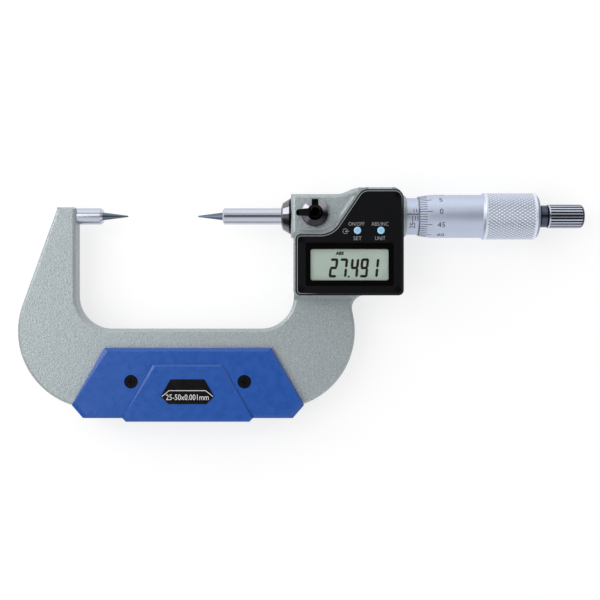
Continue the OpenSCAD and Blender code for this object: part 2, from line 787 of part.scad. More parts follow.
module clamp_screw() {
    color(steel) placed() translate([clamp_axis_x, clamp_axis_y, 0]) rotate_extrude() polygon([
        [0, pad_z + pad_t + 0.05], [clamp_screw_d / 2 - 0.3, pad_z + pad_t + 0.05],
        [clamp_screw_d / 2, pad_z + pad_t + 0.35], [clamp_screw_d / 2, clamp_z - 0.05],
        [1.5, clamp_z - 0.05], [1.5, clamp_z + 2.3], [0, clamp_z + 2.3]]);
}

module clamp_pad() {
    color(brass) placed() translate([clamp_axis_x, clamp_axis_y, 0]) difference() {
        translate([0, 0, pad_z - 1.2]) cylinder(r = clamp_screw_d / 2 - 0.1, h = pad_t + 1.2);
        translate([-5, -clamp_axis_y, 0]) rotate([0, 90, 0]) cylinder(r = stem_r + 0.1, h = 10);
    }
}

module sleeve() {
    color(satin_chrome) placed() difference() {
        rod(sleeve_x, sleeve_end, sleeve_d / 2);
        rod(sleeve_x - over, sleeve_end + over, sleeve_bore / 2 + fit);
    }
}

// Spindle nut: its end is slit and closes a little when the adjusting nut is turned
module inner_sleeve() {
    split_x = sleeve_end - 7;
    color(steel) placed() difference() {
        turned([[inner_x, 0], [inner_x, sleeve_bore / 2], [split_x, sleeve_bore / 2],
            [split_x, split_d / 2], [inner_end, split_d / 2], [inner_end, 0]]);
        turned([[inner_x - over, 0], [inner_x - over, 4.7 + run], [rotor_end + 0.3, 4.7 + run],
            [rotor_end + 0.3, 4.4], [nut_x, 4.4], [nut_x, screw_d / 2 + run],
            [inner_end + over, screw_d / 2 + run], [inner_end + over, 0]]);
        for (k = [0:2]) rotate([k * 120, 0, 0])
            block(nut_x + 3, inner_end + over, -0.4, 0.4, 0, sleeve_bore);
    }
}

module adjusting_nut() {
    x0 = sleeve_end - 4.5;
    x1 = inner_end - 0.6;
    color(steel) placed() difference() {
        rod(x0, x1, sleeve_bore / 2 - 0.15);
        rod(x0 - over, x1 + over, split_d / 2 + fit);
        for (side = [0, 180]) rotate([side, 0, 0]) block(x1 - 1, x1 + over, -0.7, 0.7, 4, 8);
    }
}

module thimble() {
    bore_r = sleeve_d / 2 + 0.12;
    color(satin_chrome) placed() difference() {
        turned([[thimble_x, 0], [thimble_x, thimble_edge_d / 2 - 0.1],
            [thimble_x + 0.15, thimble_edge_d / 2], [thimble_x + thimble_bevel_len, thimble_d / 2],
            [grip_x - 0.3, thimble_d / 2], [grip_x, thimble_d / 2 + 0.1],
            [grip_x + 0.8, grip_d / 2], [thimble_end - grip_bevel, grip_d / 2],
            [thimble_end - 0.3, grip_d / 2 - grip_bevel * 0.8],
            [thimble_end, grip_d / 2 - grip_bevel * 0.8 - 0.5], [thimble_end, 0]]);
        turned([[thimble_x - over, 0], [thimble_x - over, bore_r], [taper_x - 1.5, bore_r],
            [taper_x, bore_r - 1.5], [taper_x, taper_r0 + fit], [spindle_end, taper_r1 + fit],
            [thimble_end + over, taper_r1 + fit], [thimble_end + over, 0]]);
    }
}

// Ratchet: the knob's face teeth ride over the spring-loaded plate's
shaft_r = 1.8;
shaft_flat = 1.45;
knob_bore_r = knob_d / 2 - 1;
spring_x0 = neck_end + 1.6;
plate_x0 = spring_x0 + 3;
plate_x1 = plate_x0 + 1.7;
ring_x1 = plate_x1 + tooth_h + 2;
stop_t = 1.7;
cap_x0 = knob_end - 2.1;
tooth_r0 = 2.3;
tooth_r1 = knob_bore_r - 0.25;
tooth_w = 0.5;

module ratchet_body() {
    color(dark_chrome) placed() difference() {
        turned([[taper_x - 1.5, 0], [taper_x - 1.5, 1.5], [thimble_end + fit, 1.5],
            [thimble_end + fit, neck_d / 2 - 0.2], [thimble_end + 0.2, neck_d / 2],
            [thimble_end + 0.9, neck_d / 2], [thimble_end + 1.1, neck_d / 2 - 0.2],
            [thimble_end + 1.3, neck_d / 2], [neck_end - 0.2, neck_d / 2],
            [neck_end, neck_d / 2 - 0.2], [neck_end, knob_bore_r - run],
            [spring_x0 - 0.05, knob_bore_r - run], [spring_x0 - 0.05, shaft_r],
            [ring_x1 + 0.1, shaft_r], [ring_x1 + 0.1, 0]]);
        for (side = [0, 180]) rotate([side, 0, 0])
            block(spring_x0 - 0.05, ring_x1 + over, -3, 3, shaft_flat, 3);
        rod(plate_x0 - 1, ring_x1 + over, 0.8 + fit);
    }
}

// One saw tooth, standing out along X, as long as the toothed ring is wide
module saw_tooth(w, h, r0, r1) {
    translate([0, 0, r0]) linear_extrude(r1 - r0)
        polygon([[-0.2, -w / 2], [0, -w / 2], [h, w / 2], [-0.2, w / 2]]);
}

module ratchet_plate() {
    color(steel) placed() difference() {
        union() {
            rod(plate_x0, plate_x1, tooth_r1);
            for (k = [0:ratchet_teeth - 1]) rotate([k * 360 / ratchet_teeth, 0, 0])
                translate([plate_x1, 0, 0])
                    saw_tooth(tooth_w, tooth_h, tooth_r0 + 0.1, tooth_r1 - 0.1);
        }
        intersection() {
            rod(plate_x0 - over, plate_x1 + over, shaft_r + run);
            block(plate_x0 - over, plate_x1 + over, -3, 3, -shaft_flat - run, shaft_flat + run);
        }
    }
}

// Coil of round wire about the X axis, from x0 to x1 between the wire's middles
module coil(x0, x1, r, wire_r, turns) {
    steps = 20;
    sides = 6;
    count = round(turns * steps);
    ring = [for (k = [0:count]) for (j = [0:sides - 1]) let (
        a = k * 360 / steps,
        b = j * 360 / sides,
        rr = r + wire_r * cos(b))
        [x0 + (x1 - x0) * k / count + wire_r * sin(b), rr * cos(a), rr * sin(a)]];
    sheath = [for (k = [0:count - 1]) for (j = [0:sides - 1]) let (
        j2 = (j + 1) % sides,
        p = k * sides,
        q = p + sides)
        each [[p + j, q + j, q + j2], [p + j, q + j2, p + j2]]];
    ends = [for (j = [1:sides - 2]) each [[0, j, j + 1],
        [count * sides, count * sides + j + 1, count * sides + j]]];
    polyhedron(ring, concat(sheath, ends));
}

module ratchet_spring() {
    wire_r = 0.22;
    color(steel) placed() coil(spring_x0 + wire_r, plate_x0 - wire_r - 0.05, 2.75, wire_r, 3);
}

module knob_profile() {
    turned([[knob_x, 0], [knob_x, knob_d / 2 - 0.45], [knob_x + 0.45, knob_d / 2],
        [knob_end - knob_end_r, knob_d / 2], [knob_end - knob_end_r * 0.55, knob_d / 2 - knob_end_r * 0.1],
        [knob_end - knob_end_r * 0.2, knob_d / 2 - knob_end_r * 0.4],
        [knob_end, knob_d / 2 - knob_end_r * 0.8], [knob_end, 0]]);
}

module ratchet_knob() {
    flute_r = 0.42;
    color(dark_chrome) placed() difference() {
        knob_profile();
        rod(knob_x - over, plate_x1 + 0.04, knob_bore_r);
        rod(knob_x, knob_end, shaft_r + run);
        rod(ring_x1, knob_end + over, knob_bore_r - 0.7);
        for (k = [0:ratchet_teeth - 1]) rotate([k * 360 / ratchet_teeth, 0, 0])
            translate([plate_x1 + 0.04, 0, 0])
                saw_tooth(tooth_w + 0.1, tooth_h + 0.04, 0, tooth_r1 + 0.1);
        for (k = [0:flutes - 1]) rotate([k * 360 / flutes, 0, 0])
            translate([knob_x + 0.9, 0, knob_d / 2 + flute_r * 0.3]) rotate([0, 90, 0])
                cylinder(r = flute_r, h = knob_len);
    }
}

module ratchet_stop_screw() {
    color(steel) placed() union() {
        turned([[plate_x0, 0], [plate_x0, 0.8], [ring_x1 + 0.12, 0.8],
            [ring_x1 + 0.12, knob_bore_r - 1.2], [ring_x1 + stop_t - 0.3, knob_bore_r - 1.2],
            [ring_x1 + stop_t, knob_bore_r - 1.5], [ring_x1 + stop_t, 0]]);
    }
}

module ratchet_end_cap() {
    color(dark_chrome) placed()
        turned([[cap_x0, 0], [cap_x0, knob_bore_r - 0.7 - fit], [knob_end - 0.1, knob_bore_r - 0.7 - fit],
            [knob_end - 0.1, 1.6], [knob_end - 0.5, 1.2], [knob_end - 0.5, 0]]);
}

module encoder_rotor() {
    color(brass) placed() difference() {
        turned([[rotor_x, 0], [rotor_x, 6.5], [rotor_x + rotor_t, 6.5], [rotor_x + rotor_t, 4.7],
            [rotor_end, 4.7], [rotor_end, 0]]);
        rod(rotor_x - over, rotor_end + over, stem_r + run);
        translate([key_x, 0, 0]) cylinder(r = 0.5 + fit, h = 6);
    }
}

module drive_key() {
    color(steel) placed() translate([key_x, 0, stem_r - keyway_depth + run])
        cylinder(r = 0.5, h = 4.7 - stem_r + keyway_depth - 2 * run);
}

module encoder_stator() {
    color(board_green) placed() difference() {
        rod(encoder_x + fit, encoder_x + stator_t, sleeve_d / 2 - 0.05);
        rod(encoder_x - over, encoder_x + stator_t + over, stem_r + 0.5);
    }
}

module circuit_board() {
    color(board_green) placed() pocket_shape(-0.15, board_z, board_top);
}

module processor_chip() {
    color(rubber) placed() block(pane_x - 3.5, pane_x + 3.5, pane_y - 3.5, pane_y + 3.5,
        board_z - 1.2, board_z);
}

module zebra_strips() {
    color(rubber) placed() for (side = [-1, 1])
        translate([pane_x - view_w / 2, pane_y + side * (panel_h - strip_w) / 2 - strip_w / 2, board_top])
            cube([view_w, strip_w, panel_bottom - board_top]);
}

module lcd_panel() {
    color("#a9baab") placed() block(pane_x - panel_w / 2, pane_x + panel_w / 2,
        pane_y - panel_h / 2, pane_y + panel_h / 2, panel_bottom, panel_top);
}

module rounded_box(x, y, w, h, r, z0, z1) {
    slab([[x - w / 2, y - h / 2, r], [x + w / 2, y - h / 2, r],
        [x + w / 2, y + h / 2, r], [x - w / 2, y + h / 2, r]], z0, z1);
}

module lcd_window() {
    color("#0c0d10") placed()
        rounded_box(pane_x, pane_y, pane_w - 2 * fit, pane_h - 2 * fit, 0.8,
            cover_z - pane_recess - pane_t, cover_z - pane_recess);
}

module display_cover() {
    color(black_plastic) placed() difference() {
        slab(cover_path, rim_z, cover_z);
        along_path(cover_path, [0, 1, 2, 3, 4, 5], [0, 1, 2, 3, 4, 5])
            bevel_section(cover_bevel, cover_z, 1);
        // Seat of the pane, opening over the glass, and room for the panel
        rounded_box(pane_x, pane_y, pane_w, pane_h, 0.8, cover_z - pane_recess - pane_t,
            cover_z + over);
        rounded_box(view_x, view_y, view_w, view_h, 0.8, rim_z, cover_z);
        block(pane_x - panel_w / 2 - 0.15, pane_x + panel_w / 2 + 0.15,
            pane_y - panel_h / 2 - 0.15, pane_y + panel_h / 2 + 0.15, rim_z - over, cover_ceiling);
        for (x = [button_x - button_pitch / 2, button_x + button_pitch / 2]) {
            post(x, button_y, rim_z - over, cover_z + over, button_d / 2 + run);
            post(x, button_y, rim_z - over, cover_ceiling, button_flange_r + 0.2);
        }
        cover_screw_places() {
            translate([0, 0, rim_z - over]) cylinder(r = 0.9, h = cover_t + 2 * over);
            translate([0, 0, cover_z - 1.3]) cylinder(r = cover_screw_d / 2 + 0.1, h = 1.3 + over);
        }
    }
}

module cover_gasket() {
    color(rubber) placed() difference() {
        pocket_shape(0.85, rim_z - 0.5, rim_z);
        pocket_shape(0.25, rim_z - over, rim_z + over);
    }
}

module cross_recess(d, depth) {
    for (turned_by = [0, 90]) rotate([0, 0, turned_by])
        translate([-d / 2, -d / 10, -depth]) cube([d, d / 5, depth + over]);
}

module cover_screws() {
    color(rubber) placed() cover_screw_places() difference() {
        union() {
            translate([0, 0, cover_z - 1.3]) cylinder(r = cover_screw_d / 2, h = 0.9);
            translate([0, 0, rim_z - 3]) cylinder(r = 0.8 - fit, h = cover_t + 2);
        }
        translate([0, 0, cover_z - 0.4]) cross_recess(1.3, 0.4);
    }
}

module button(x) {
    flange_z = cover_ceiling - button_flange_t - 0.05;
    top_z = cover_z + button_proud;
    color(button_blue) placed() translate([x, button_y, 0]) rotate_extrude() polygon([
        [0, button_stem_z], [button_stem_r, button_stem_z], [button_stem_r, flange_z],
        [button_flange_r, flange_z], [button_flange_r, flange_z + button_flange_t],
        [button_d / 2, flange_z + button_flange_t], [button_d / 2, top_z - 0.3],
        [button_d / 2 - 0.12, top_z - 0.12], [button_d / 2 - 0.4, top_z - 0.02], [0, top_z]]);
}

module button_left() {
    button(button_x - button_pitch / 2);
}

module button_right() {
    button(button_x + button_pitch / 2);
}

module dome(x) {
    color(steel) placed() translate([x, button_y, 0]) rotate_extrude() polygon([
        [1.9, board_top], [2.1, board_top], [1.2, button_stem_z], [0, button_stem_z],
        [0, button_stem_z - 0.15], [1.1, button_stem_z - 0.15]]);
}

module dome_left() {
    dome(button_x - button_pitch / 2);
}

module dome_right() {
    dome(button_x + button_pitch / 2);
}

module battery() {
    color(steel) placed() translate([battery_x, battery_y, 0]) rotate_extrude() polygon([
        [0, battery_z], [battery_d / 2 - 0.2, battery_z], [battery_d / 2, battery_z + 0.2],
        [battery_d / 2, battery_z + 4.2], [battery_d / 2 - 1.2, battery_z + 4.6],
        [battery_d / 2 - 1.2, battery_z + battery_t], [0, battery_z + battery_t]]);
}

module battery_contacts() {
    color(brass) placed() {
        block(battery_x - 3, battery_x + 3, battery_y - 1.5, battery_y + 1.5,
            battery_z + battery_t, battery_room_z);
        block(battery_x - 1.5, battery_x + 1.5, battery_y - battery_d / 2 - 0.45,
            battery_y - battery_d / 2 - 0.1, battery_z, battery_z + 4);
    }
}

module battery_lid() {
    color(black_plastic) placed() difference() {
        rounded_box(battery_x, battery_y, lid_w, lid_h, 0.6, -back_z, -back_z + lid_t);
        lid_screw_places() {
            translate([0, 0, -back_z - over]) cylinder(r = 0.9, h = lid_t + 2 * over);
            translate([0, 0, -back_z - over]) cylinder(r = 1.5, h = over + 0.6);
        }
    }
}

module battery_lid_seal() {
    color(rubber) placed() difference() {
        post(battery_x, battery_y, -back_z + lid_t, -back_z + lid_t + seal_t, battery_d / 2 + 1.05);
        post(battery_x, battery_y, -back_z, 0, battery_d / 2 + 0.2);
        block(battery_x - 1.6, battery_x + 1.6, battery_y - battery_d / 2 - 0.5, battery_y, -back_z, 0);
    }
}

module battery_lid_screws() {
    color(steel) placed() lid_screw_places() difference() {
        union() {
            translate([0, 0, -back_z + 0.1]) cylinder(r = 1.4, h = 0.5);
            translate([0, 0, -back_z + 0.1]) cylinder(r = 0.8 - fit, h = lid_t + 2.4);
        }
        translate([0, 0, -back_z + 0.1]) mirror([0, 0, 1]) cross_recess(1.6, 0.35);
    }
}

module flat_hull(outline, z0, z1, shrink) {
    middle = [plate_x, outline[0][1] / 2 + outline[3][1] / 2];
    hull() {
        translate([0, 0, z0]) linear_extrude(z1 - z0 - shrink * 0.7) polygon(outline);
        translate([0, 0, z1 - 0.01]) linear_extrude(0.01) polygon([for (p = outline)
            [p[0] - shrink * sign(p[0] - middle[0]), p[1] - shrink * sign(p[1] - middle[1])]]);
    }
}

// Insulating plate over one face of the bow, with a lip that turns in under it
module insulating_plate() {
    color(blue_plastic) placed() children();
}

module plate_shape() {
    lip_y = bow_bottom - fit;
    difference() {
        union() {
            flat_hull(plate_outline, bow_face, plate_face, plate_bevel);
            flat_hull(raised_outline, plate_face - over, plate_face + plate_raise, plate_raise);
            block(plate_x - plate_foot, plate_x + plate_foot, plate_y0, lip_y, 0.05, bow_face);
            block(plate_x - raised_foot, plate_x + raised_foot, raised_y0, plate_y0 + over, 0.05,
                plate_face - over);
        }
        plate_screw_places() {
            cylinder(r = plate_thread_r + 0.15, h = plate_face + over);
            translate([0, 0, plate_screw_seat]) cylinder(r = plate_screw_d / 2 + 0.15, h = 3);
        }
    }
}

module plate_front() {
    insulating_plate() plate_shape();
}

module plate_back() {
    insulating_plate() mirror([0, 0, 1]) plate_shape();
}

module plate_screw() {
    difference() {
        union() {
            translate([0, 0, plate_screw_seat]) cylinder(r = plate_screw_d / 2, h = plate_screw_head);
            translate([0, 0, plate_screw_end])
                cylinder(r = plate_thread_r, h = plate_screw_len + plate_screw_head / 2);
        }
        translate([0, 0, plate_screw_seat + plate_screw_head])
            cross_recess(plate_screw_d * 0.55, plate_screw_head * 0.6);
    }
}

module plate_screws_front() {
    color(rubber) placed() plate_screw_places() plate_screw();
}

module plate_screws_back() {
    color(rubber) placed() plate_screw_places() mirror([0, 0, 1]) plate_screw();
}

module badge() {
    y1 = raised_top_y - badge_drop;
    y0 = y1 - badge_h;
    waist_y = y0 + (badge_w - badge_low_w) / 2;
    color("#0d0e10") placed() translate([plate_x, 0, plate_face + plate_raise])
        linear_extrude(badge_t) polygon([
            [-badge_low_w / 2, y0], [badge_low_w / 2, y0], [badge_w / 2, waist_y],
            [badge_top_w / 2, y1], [-badge_top_w / 2, y1], [-badge_w / 2, waist_y]]);
}

frame();
anvil();
anvil_point();
spindle();
spindle_point();
nose_collar();
spindle_seal();
clamp_lever();
clamp_screw();
clamp_pad();
sleeve();
inner_sleeve();
adjusting_nut();
thimble();
ratchet_body();
ratchet_plate();
ratchet_spring();
ratchet_knob();
ratchet_stop_screw();
ratchet_end_cap();
encoder_rotor();
encoder_stator();
drive_key();
circuit_board();
processor_chip();
zebra_strips();
lcd_panel();
lcd_window();
display_cover();
cover_gasket();
cover_screws();
button_left();
button_right();
dome_left();
dome_right();
battery();
battery_contacts();
battery_lid();
battery_lid_seal();
battery_lid_screws();
plate_front();
plate_back();
plate_screws_front();
plate_screws_back();
badge();
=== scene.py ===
"""Looks of a digital point micrometer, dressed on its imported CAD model.

Places are in millimetres along the measuring axis from the anvil's tip (x), across it towards the
bow's open side (y) and up towards the display (z). at() turns them into the model's own frame.
"""

import math

import bpy
from mathutils import Matrix, Vector


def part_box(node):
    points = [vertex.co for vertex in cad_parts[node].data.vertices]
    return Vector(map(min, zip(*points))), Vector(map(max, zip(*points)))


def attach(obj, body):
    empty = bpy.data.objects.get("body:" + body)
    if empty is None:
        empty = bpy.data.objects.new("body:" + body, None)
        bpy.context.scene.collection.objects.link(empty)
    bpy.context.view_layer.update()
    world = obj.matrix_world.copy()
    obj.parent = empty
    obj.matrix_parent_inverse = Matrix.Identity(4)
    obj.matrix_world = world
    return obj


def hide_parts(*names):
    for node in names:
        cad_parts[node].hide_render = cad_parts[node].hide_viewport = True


bl_info = {
    "name": "Digital point micrometer",
    "version": (1, 0, 0),
    "blender": (4, 5, 0),
    "location": "View3D > Sidebar > Micrometer",
    "description": "Dresses the CAD model of a digital point micrometer and sets it on a studio table",
    "category": "Object",
}

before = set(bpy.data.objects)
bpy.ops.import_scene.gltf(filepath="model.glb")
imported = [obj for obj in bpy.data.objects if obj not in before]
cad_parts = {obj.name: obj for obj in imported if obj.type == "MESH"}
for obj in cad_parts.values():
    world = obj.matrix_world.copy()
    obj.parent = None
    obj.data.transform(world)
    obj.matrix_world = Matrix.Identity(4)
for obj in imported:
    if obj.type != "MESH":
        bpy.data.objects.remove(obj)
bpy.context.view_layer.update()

MM = 0.001
CONE_LOW, CONE_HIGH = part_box("spindle_point")
TIP = Vector((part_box("anvil_point")[1].x, (CONE_LOW.y + CONE_HIGH.y) / 2, (CONE_LOW.z + CONE_HIGH.z) / 2))


def at(x, y, z):
    """A place given in millimetres from the anvil's tip, in the model's frame."""
    return TIP + Vector((x, y, z)) * MM


def local(point):
    """The other way: a point of the model's frame in millimetres from the anvil's tip."""
    return (point - TIP) / MM


def span(node):
    """The two corners of a CAD node's box, in millimetres from the anvil's tip."""
    return [local(corner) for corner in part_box(node)]


READING = span("spindle_point")[0].x
RANGE_LOW = 25
SLEEVE_R = span("sleeve")[1].z
SLEEVE_END = span("sleeve")[1].x
COLLAR_X = span("nose_collar")[0].x
KNOB_X = span("ratchet_knob")[0].x
KNOB_R = span("ratchet_knob")[1].z
COVER_Z = span("display_cover")[1].z
PANEL_Z = span("lcd_panel")[1].z
BADGE_LOW, BADGE_HIGH = span("badge")
BUTTONS = [sum(span(node), Vector((0, 0, 0))) / 2 for node in ("button_left", "button_right")]

# The lever turns about a line that lies this far from its right end
LEVER_REACH = 5.35
LEVER_LOW, LEVER_HIGH = span("clamp_lever")
LEVER_AXIS = (LEVER_HIGH.x - LEVER_REACH, (LEVER_LOW.y + LEVER_HIGH.y) / 2, LEVER_LOW.z)

# The thimble's outline: a sharp front edge, a cone up to the barrel, and the wider grip with its knurl
THIMBLE_X, THIMBLE_END = (corner.x for corner in span("thimble"))
GRIP_R = span("thimble")[1].z
BARREL_R, EDGE_R, BORE_R = GRIP_R - 0.75, GRIP_R - 1.55, SLEEVE_R + 0.12
CONE_X, BARREL_X, GRIP_X = THIMBLE_X + 0.15, THIMBLE_X + 5.3, THIMBLE_X + 25.2
KNURL_X, KNURL_END = GRIP_X + 0.8, THIMBLE_END - 1.3

# Place of the sleeve's first mark, and how far an etched mark reaches under a surface and stands over it
ZERO_X = THIMBLE_X - (READING - RANGE_LOW)
SUNK, PROUD = 0.02, 0.012


def linear(code):
    """The linear colour of an sRGB hex value."""
    levels = [int(code[i:i + 2], 16) / 255 for i in (1, 3, 5)]
    return [c / 12.92 if c <= 0.04045 else ((c + 0.055) / 1.055) ** 2.4 for c in levels]


class MicrometerSizes(bpy.types.PropertyGroup):
    """Sizes of the marks, prints and the knurl."""

    mark_width: bpy.props.FloatProperty(
        name="Mark width", description="Width of a graduation line",
        default=0.00024, min=0.0001, max=0.0004, unit="LENGTH", precision=5)
    number_height: bpy.props.FloatProperty(
        name="Number height", description="Height of the numbers on the sleeve and the thimble",
        default=0.0021, min=0.0015, max=0.003, unit="LENGTH", precision=5)
    line_roll: bpy.props.FloatProperty(
        name="Line roll", description="How far the sleeve's line is turned away from the display's side",
        default=math.radians(2.6), min=-0.2, max=0.2, unit="ROTATION")
    knurl_starts: bpy.props.IntProperty(
        name="Knurl starts", description="Grooves of the knurl round the thimble, each way",
        default=46, min=40, max=90)
    knurl_rows: bpy.props.IntProperty(
        name="Knurl rows", description="Rows of half diamonds along the grip",
        default=20, min=16, max=44)
    knurl_depth: bpy.props.FloatProperty(
        name="Knurl depth", description="Depth of the knurl's grooves",
        default=0.00022, min=0.0001, max=0.0004, unit="LENGTH", precision=5)
    digit_height: bpy.props.FloatProperty(
        name="Digit height", description="Height of the digits in the display",
        default=0.00736, min=0.005, max=0.009, unit="LENGTH", precision=5)
    digit_width: bpy.props.FloatProperty(
        name="Digit width", description="Width of the digits in the display",
        default=0.0031, min=0.002, max=0.004, unit="LENGTH", precision=5)
    label_height: bpy.props.FloatProperty(
        name="Label height", description="Height of the capitals printed by the buttons",
        default=0.0014, min=0.001, max=0.002, unit="LENGTH", precision=5)


class MicrometerColours(bpy.types.PropertyGroup):
    """Colours of the finishes that come in several colours."""

    enamel: bpy.props.FloatVectorProperty(
        name="Frame enamel", description="Colour of the hammered enamel on the casting",
        default=linear("#AAB3B6"), min=0, max=1, subtype="COLOR")
    plates: bpy.props.FloatVectorProperty(
        name="Plates", description="Colour of the insulating plates",
        default=linear("#2455A8"), min=0, max=1, subtype="COLOR")
    cover: bpy.props.FloatVectorProperty(
        name="Cover", description="Colour of the display cover",
        default=linear("#0A0B0E"), min=0, max=1, subtype="COLOR")
    buttons: bpy.props.FloatVectorProperty(
        name="Buttons", description="Colour of the two buttons",
        default=linear("#A8DBFF"), min=0, max=1, subtype="COLOR")
    display: bpy.props.FloatVectorProperty(
        name="Display", description="Colour of the display's glass",
        default=linear("#E9FFEF"), min=0, max=1, subtype="COLOR")


class MicrometerStage(bpy.types.PropertyGroup):
    """Camera, table and lamps."""

    camera_height: bpy.props.FloatProperty(
        name="Camera height", description="Distance of the camera above the measuring axis",
        default=0.425, min=0.2, max=2, unit="LENGTH")
    view_width: bpy.props.FloatProperty(
        name="View width", description="Width that the camera sees at the measuring axis",
        default=0.2374, min=0.1, max=0.5, unit="LENGTH")
    room_level: bpy.props.FloatProperty(
        name="Soft boxes", description="Strength of the light from the soft boxes all round",
        default=1.1, min=0, max=2)
    key_power: bpy.props.FloatProperty(
        name="Key lamp", description="Power of the large lamp on the left; the others follow it",
        default=4.3, min=0, max=20, unit="POWER")


# Materials

def add(tree, kind, inputs=None, **settings):
    """Adds a node with its settings.

    An input is a value, another node's output, or a node, which stands for its first output in use.
    """
    node = tree.nodes.new(kind)
    for name, value in settings.items():
        setattr(node, name, value)
    for socket, value in (inputs or {}).items():
        if isinstance(value, bpy.types.Node):
            value = next(output for output in value.outputs if output.enabled)
        if isinstance(value, bpy.types.NodeSocket):
            tree.links.new(value, node.inputs[socket])
        else:
            node.inputs[socket].default_value = value
    return node


def empty(name):
    """A new material with no nodes yet. Its name has to be its own, not one that the frame brought."""
    material = bpy.data.materials.new(name)
    if material.name != name:
        raise RuntimeError(name + " is already a material's name")
    material.use_nodes = True
    material.node_tree.nodes.clear()
    return material


def per_metre(millimetres):
    """Texture scale that gives features of that size on Object coordinates."""
    return 1000.0 / millimetres


def start(name, size, detail=2.0, stretch=(1, 1, 1), ends=(0.3, 0.7)):
    """A new material with noise of that size in millimetres, in the piece's own place.

    Gives its tree, that place, the noise, and the noise's share of the way between its two ends.
    """
    tree = empty(name).node_tree
    place = add(tree, "ShaderNodeTexCoord").outputs["Object"]
    stretched = add(tree, "ShaderNodeMapping", {"Vector": place, "Scale": stretch})
    noise = add(tree, "ShaderNodeTexNoise", {
        "Vector": stretched, "Scale": per_metre(size), "Detail": detail, "Roughness": 0.55})
    share = add(tree, "ShaderNodeMapRange", {"Value": noise, "From Min": ends[0], "From Max": ends[1]})
    return tree, place, noise, share


def finish(base, dark, light=None, rough=0.5, metal=0.0, bump=None, layers=(), inputs=None):
    """Adds the shader to what start() gave.

    The noise blends the dark tone into the light one, and a pair of roughness values too. Layers are
    pairs of a share and a colour, laid over that in turn. bump is its strength and its height in metres.
    """
    tree, _, noise, share = base
    colour = (*dark, 1.0)
    for part, tone in ([(share, light)] if light else []) + list(layers):
        colour = add(tree, "ShaderNodeMix", {"Factor": part, "A": colour, "B": (*tone, 1.0)},
                     data_type="RGBA")
    if isinstance(rough, tuple):
        rough = add(tree, "ShaderNodeMapRange", {"Value": share, "To Min": rough[0], "To Max": rough[1]})
    inputs = {"Base Color": colour, "Metallic": metal, "Roughness": rough, **(inputs or {})}
    if bump:
        inputs["Normal"] = add(tree, "ShaderNodeBump", {
            "Height": noise, "Strength": bump[0], "Distance": bump[1]})
    shader = add(tree, "ShaderNodeBsdfPrincipled", inputs)
    add(tree, "ShaderNodeOutputMaterial", {"Surface": shader})


def scaled(colour, factor):
    return [min(1.0, c * factor) for c in colour]


# Stretches that draw the noise out into rings round the measuring axis, for a lathe or a grinder. Real
# tool marks are finer than the sizes below: they are drawn as coarse as they need to be to show.
FINE_RINGS = (4.0, 0.05, 0.05)
POLISHED_RINGS = (3.0, 0.1, 0.1)
COARSE_RINGS = (3.0, 0.2, 0.2)


def hammered_enamel(colour):
    """Silver grey hammered enamel, sprayed and stoved on cast steel.

    The eye sees soft dimples about a millimetre across, and fine lighter flakes in them.
    """
    flake_size, dimple_size = 0.42, 0.7
    base = start("hammered_enamel", flake_size, ends=(0.35, 0.65))
    tree, place, flakes, _ = base
    dimples = add(tree, "ShaderNodeTexNoise", {
        "Vector": place, "Scale": per_metre(dimple_size), "Detail": 1.0, "Roughness": 0.55})
    fine = add(tree, "ShaderNodeBump", {"Height": flakes, "Strength": 0.25, "Distance": 0.0001})
    bump = add(tree, "ShaderNodeBump", {
        "Height": dimples, "Strength": 0.45, "Distance": 0.0003, "Normal": fine})
    finish(base, scaled(colour, 0.82), scaled(colour, 1.18), 0.4, 0.4, inputs={"Normal": bump})


def ground_steel():
    """Hardened steel, ground and lapped: bright, with fine rings round the axis."""
    base = start("ground_steel", 0.5, 3.0, FINE_RINGS)
    finish(base, linear("#C0C5D2"), rough=(0.1, 0.2), metal=1.0, bump=(0.06, 0.00002))


def ground_carbide():
    """Tungsten carbide, diamond ground: dark blue grey with a dull shine."""
    finish(start("ground_carbide", 0.4, 2.0, COARSE_RINGS), linear("#667080"), rough=(0.12, 0.2), metal=1.0)


def smoked_chrome():
    """Dark chrome over polished steel, for the collar: a smoky mirror, painted near black at both ends as
    painted shade.
    """
    base = start("smoked_chrome", 0.3, 2.0, POLISHED_RINGS)
    tree, place, _, _ = base
    mirror_x, lip_starts, lip_full = COLLAR_X + 1.75, 1.2, 1.35
    along = add(tree, "ShaderNodeSeparateXYZ", {0: place})
    off = add(tree, "ShaderNodeMath", {0: along.outputs["X"], 1: at(mirror_x, 0, 0).x}, operation="SUBTRACT")
    off = add(tree, "ShaderNodeMath", {0: off}, operation="ABSOLUTE")
    # Painted shade: the collar turns near black within a little over a millimetre of either end
    end_shade = add(tree, "ShaderNodeMapRange", {
        "Value": off, "From Min": lip_starts * MM, "From Max": lip_full * MM})
    finish(base, linear("#77777D"), rough=(0.08, 0.16), metal=1.0, layers=[(end_shade, linear("#101013"))])


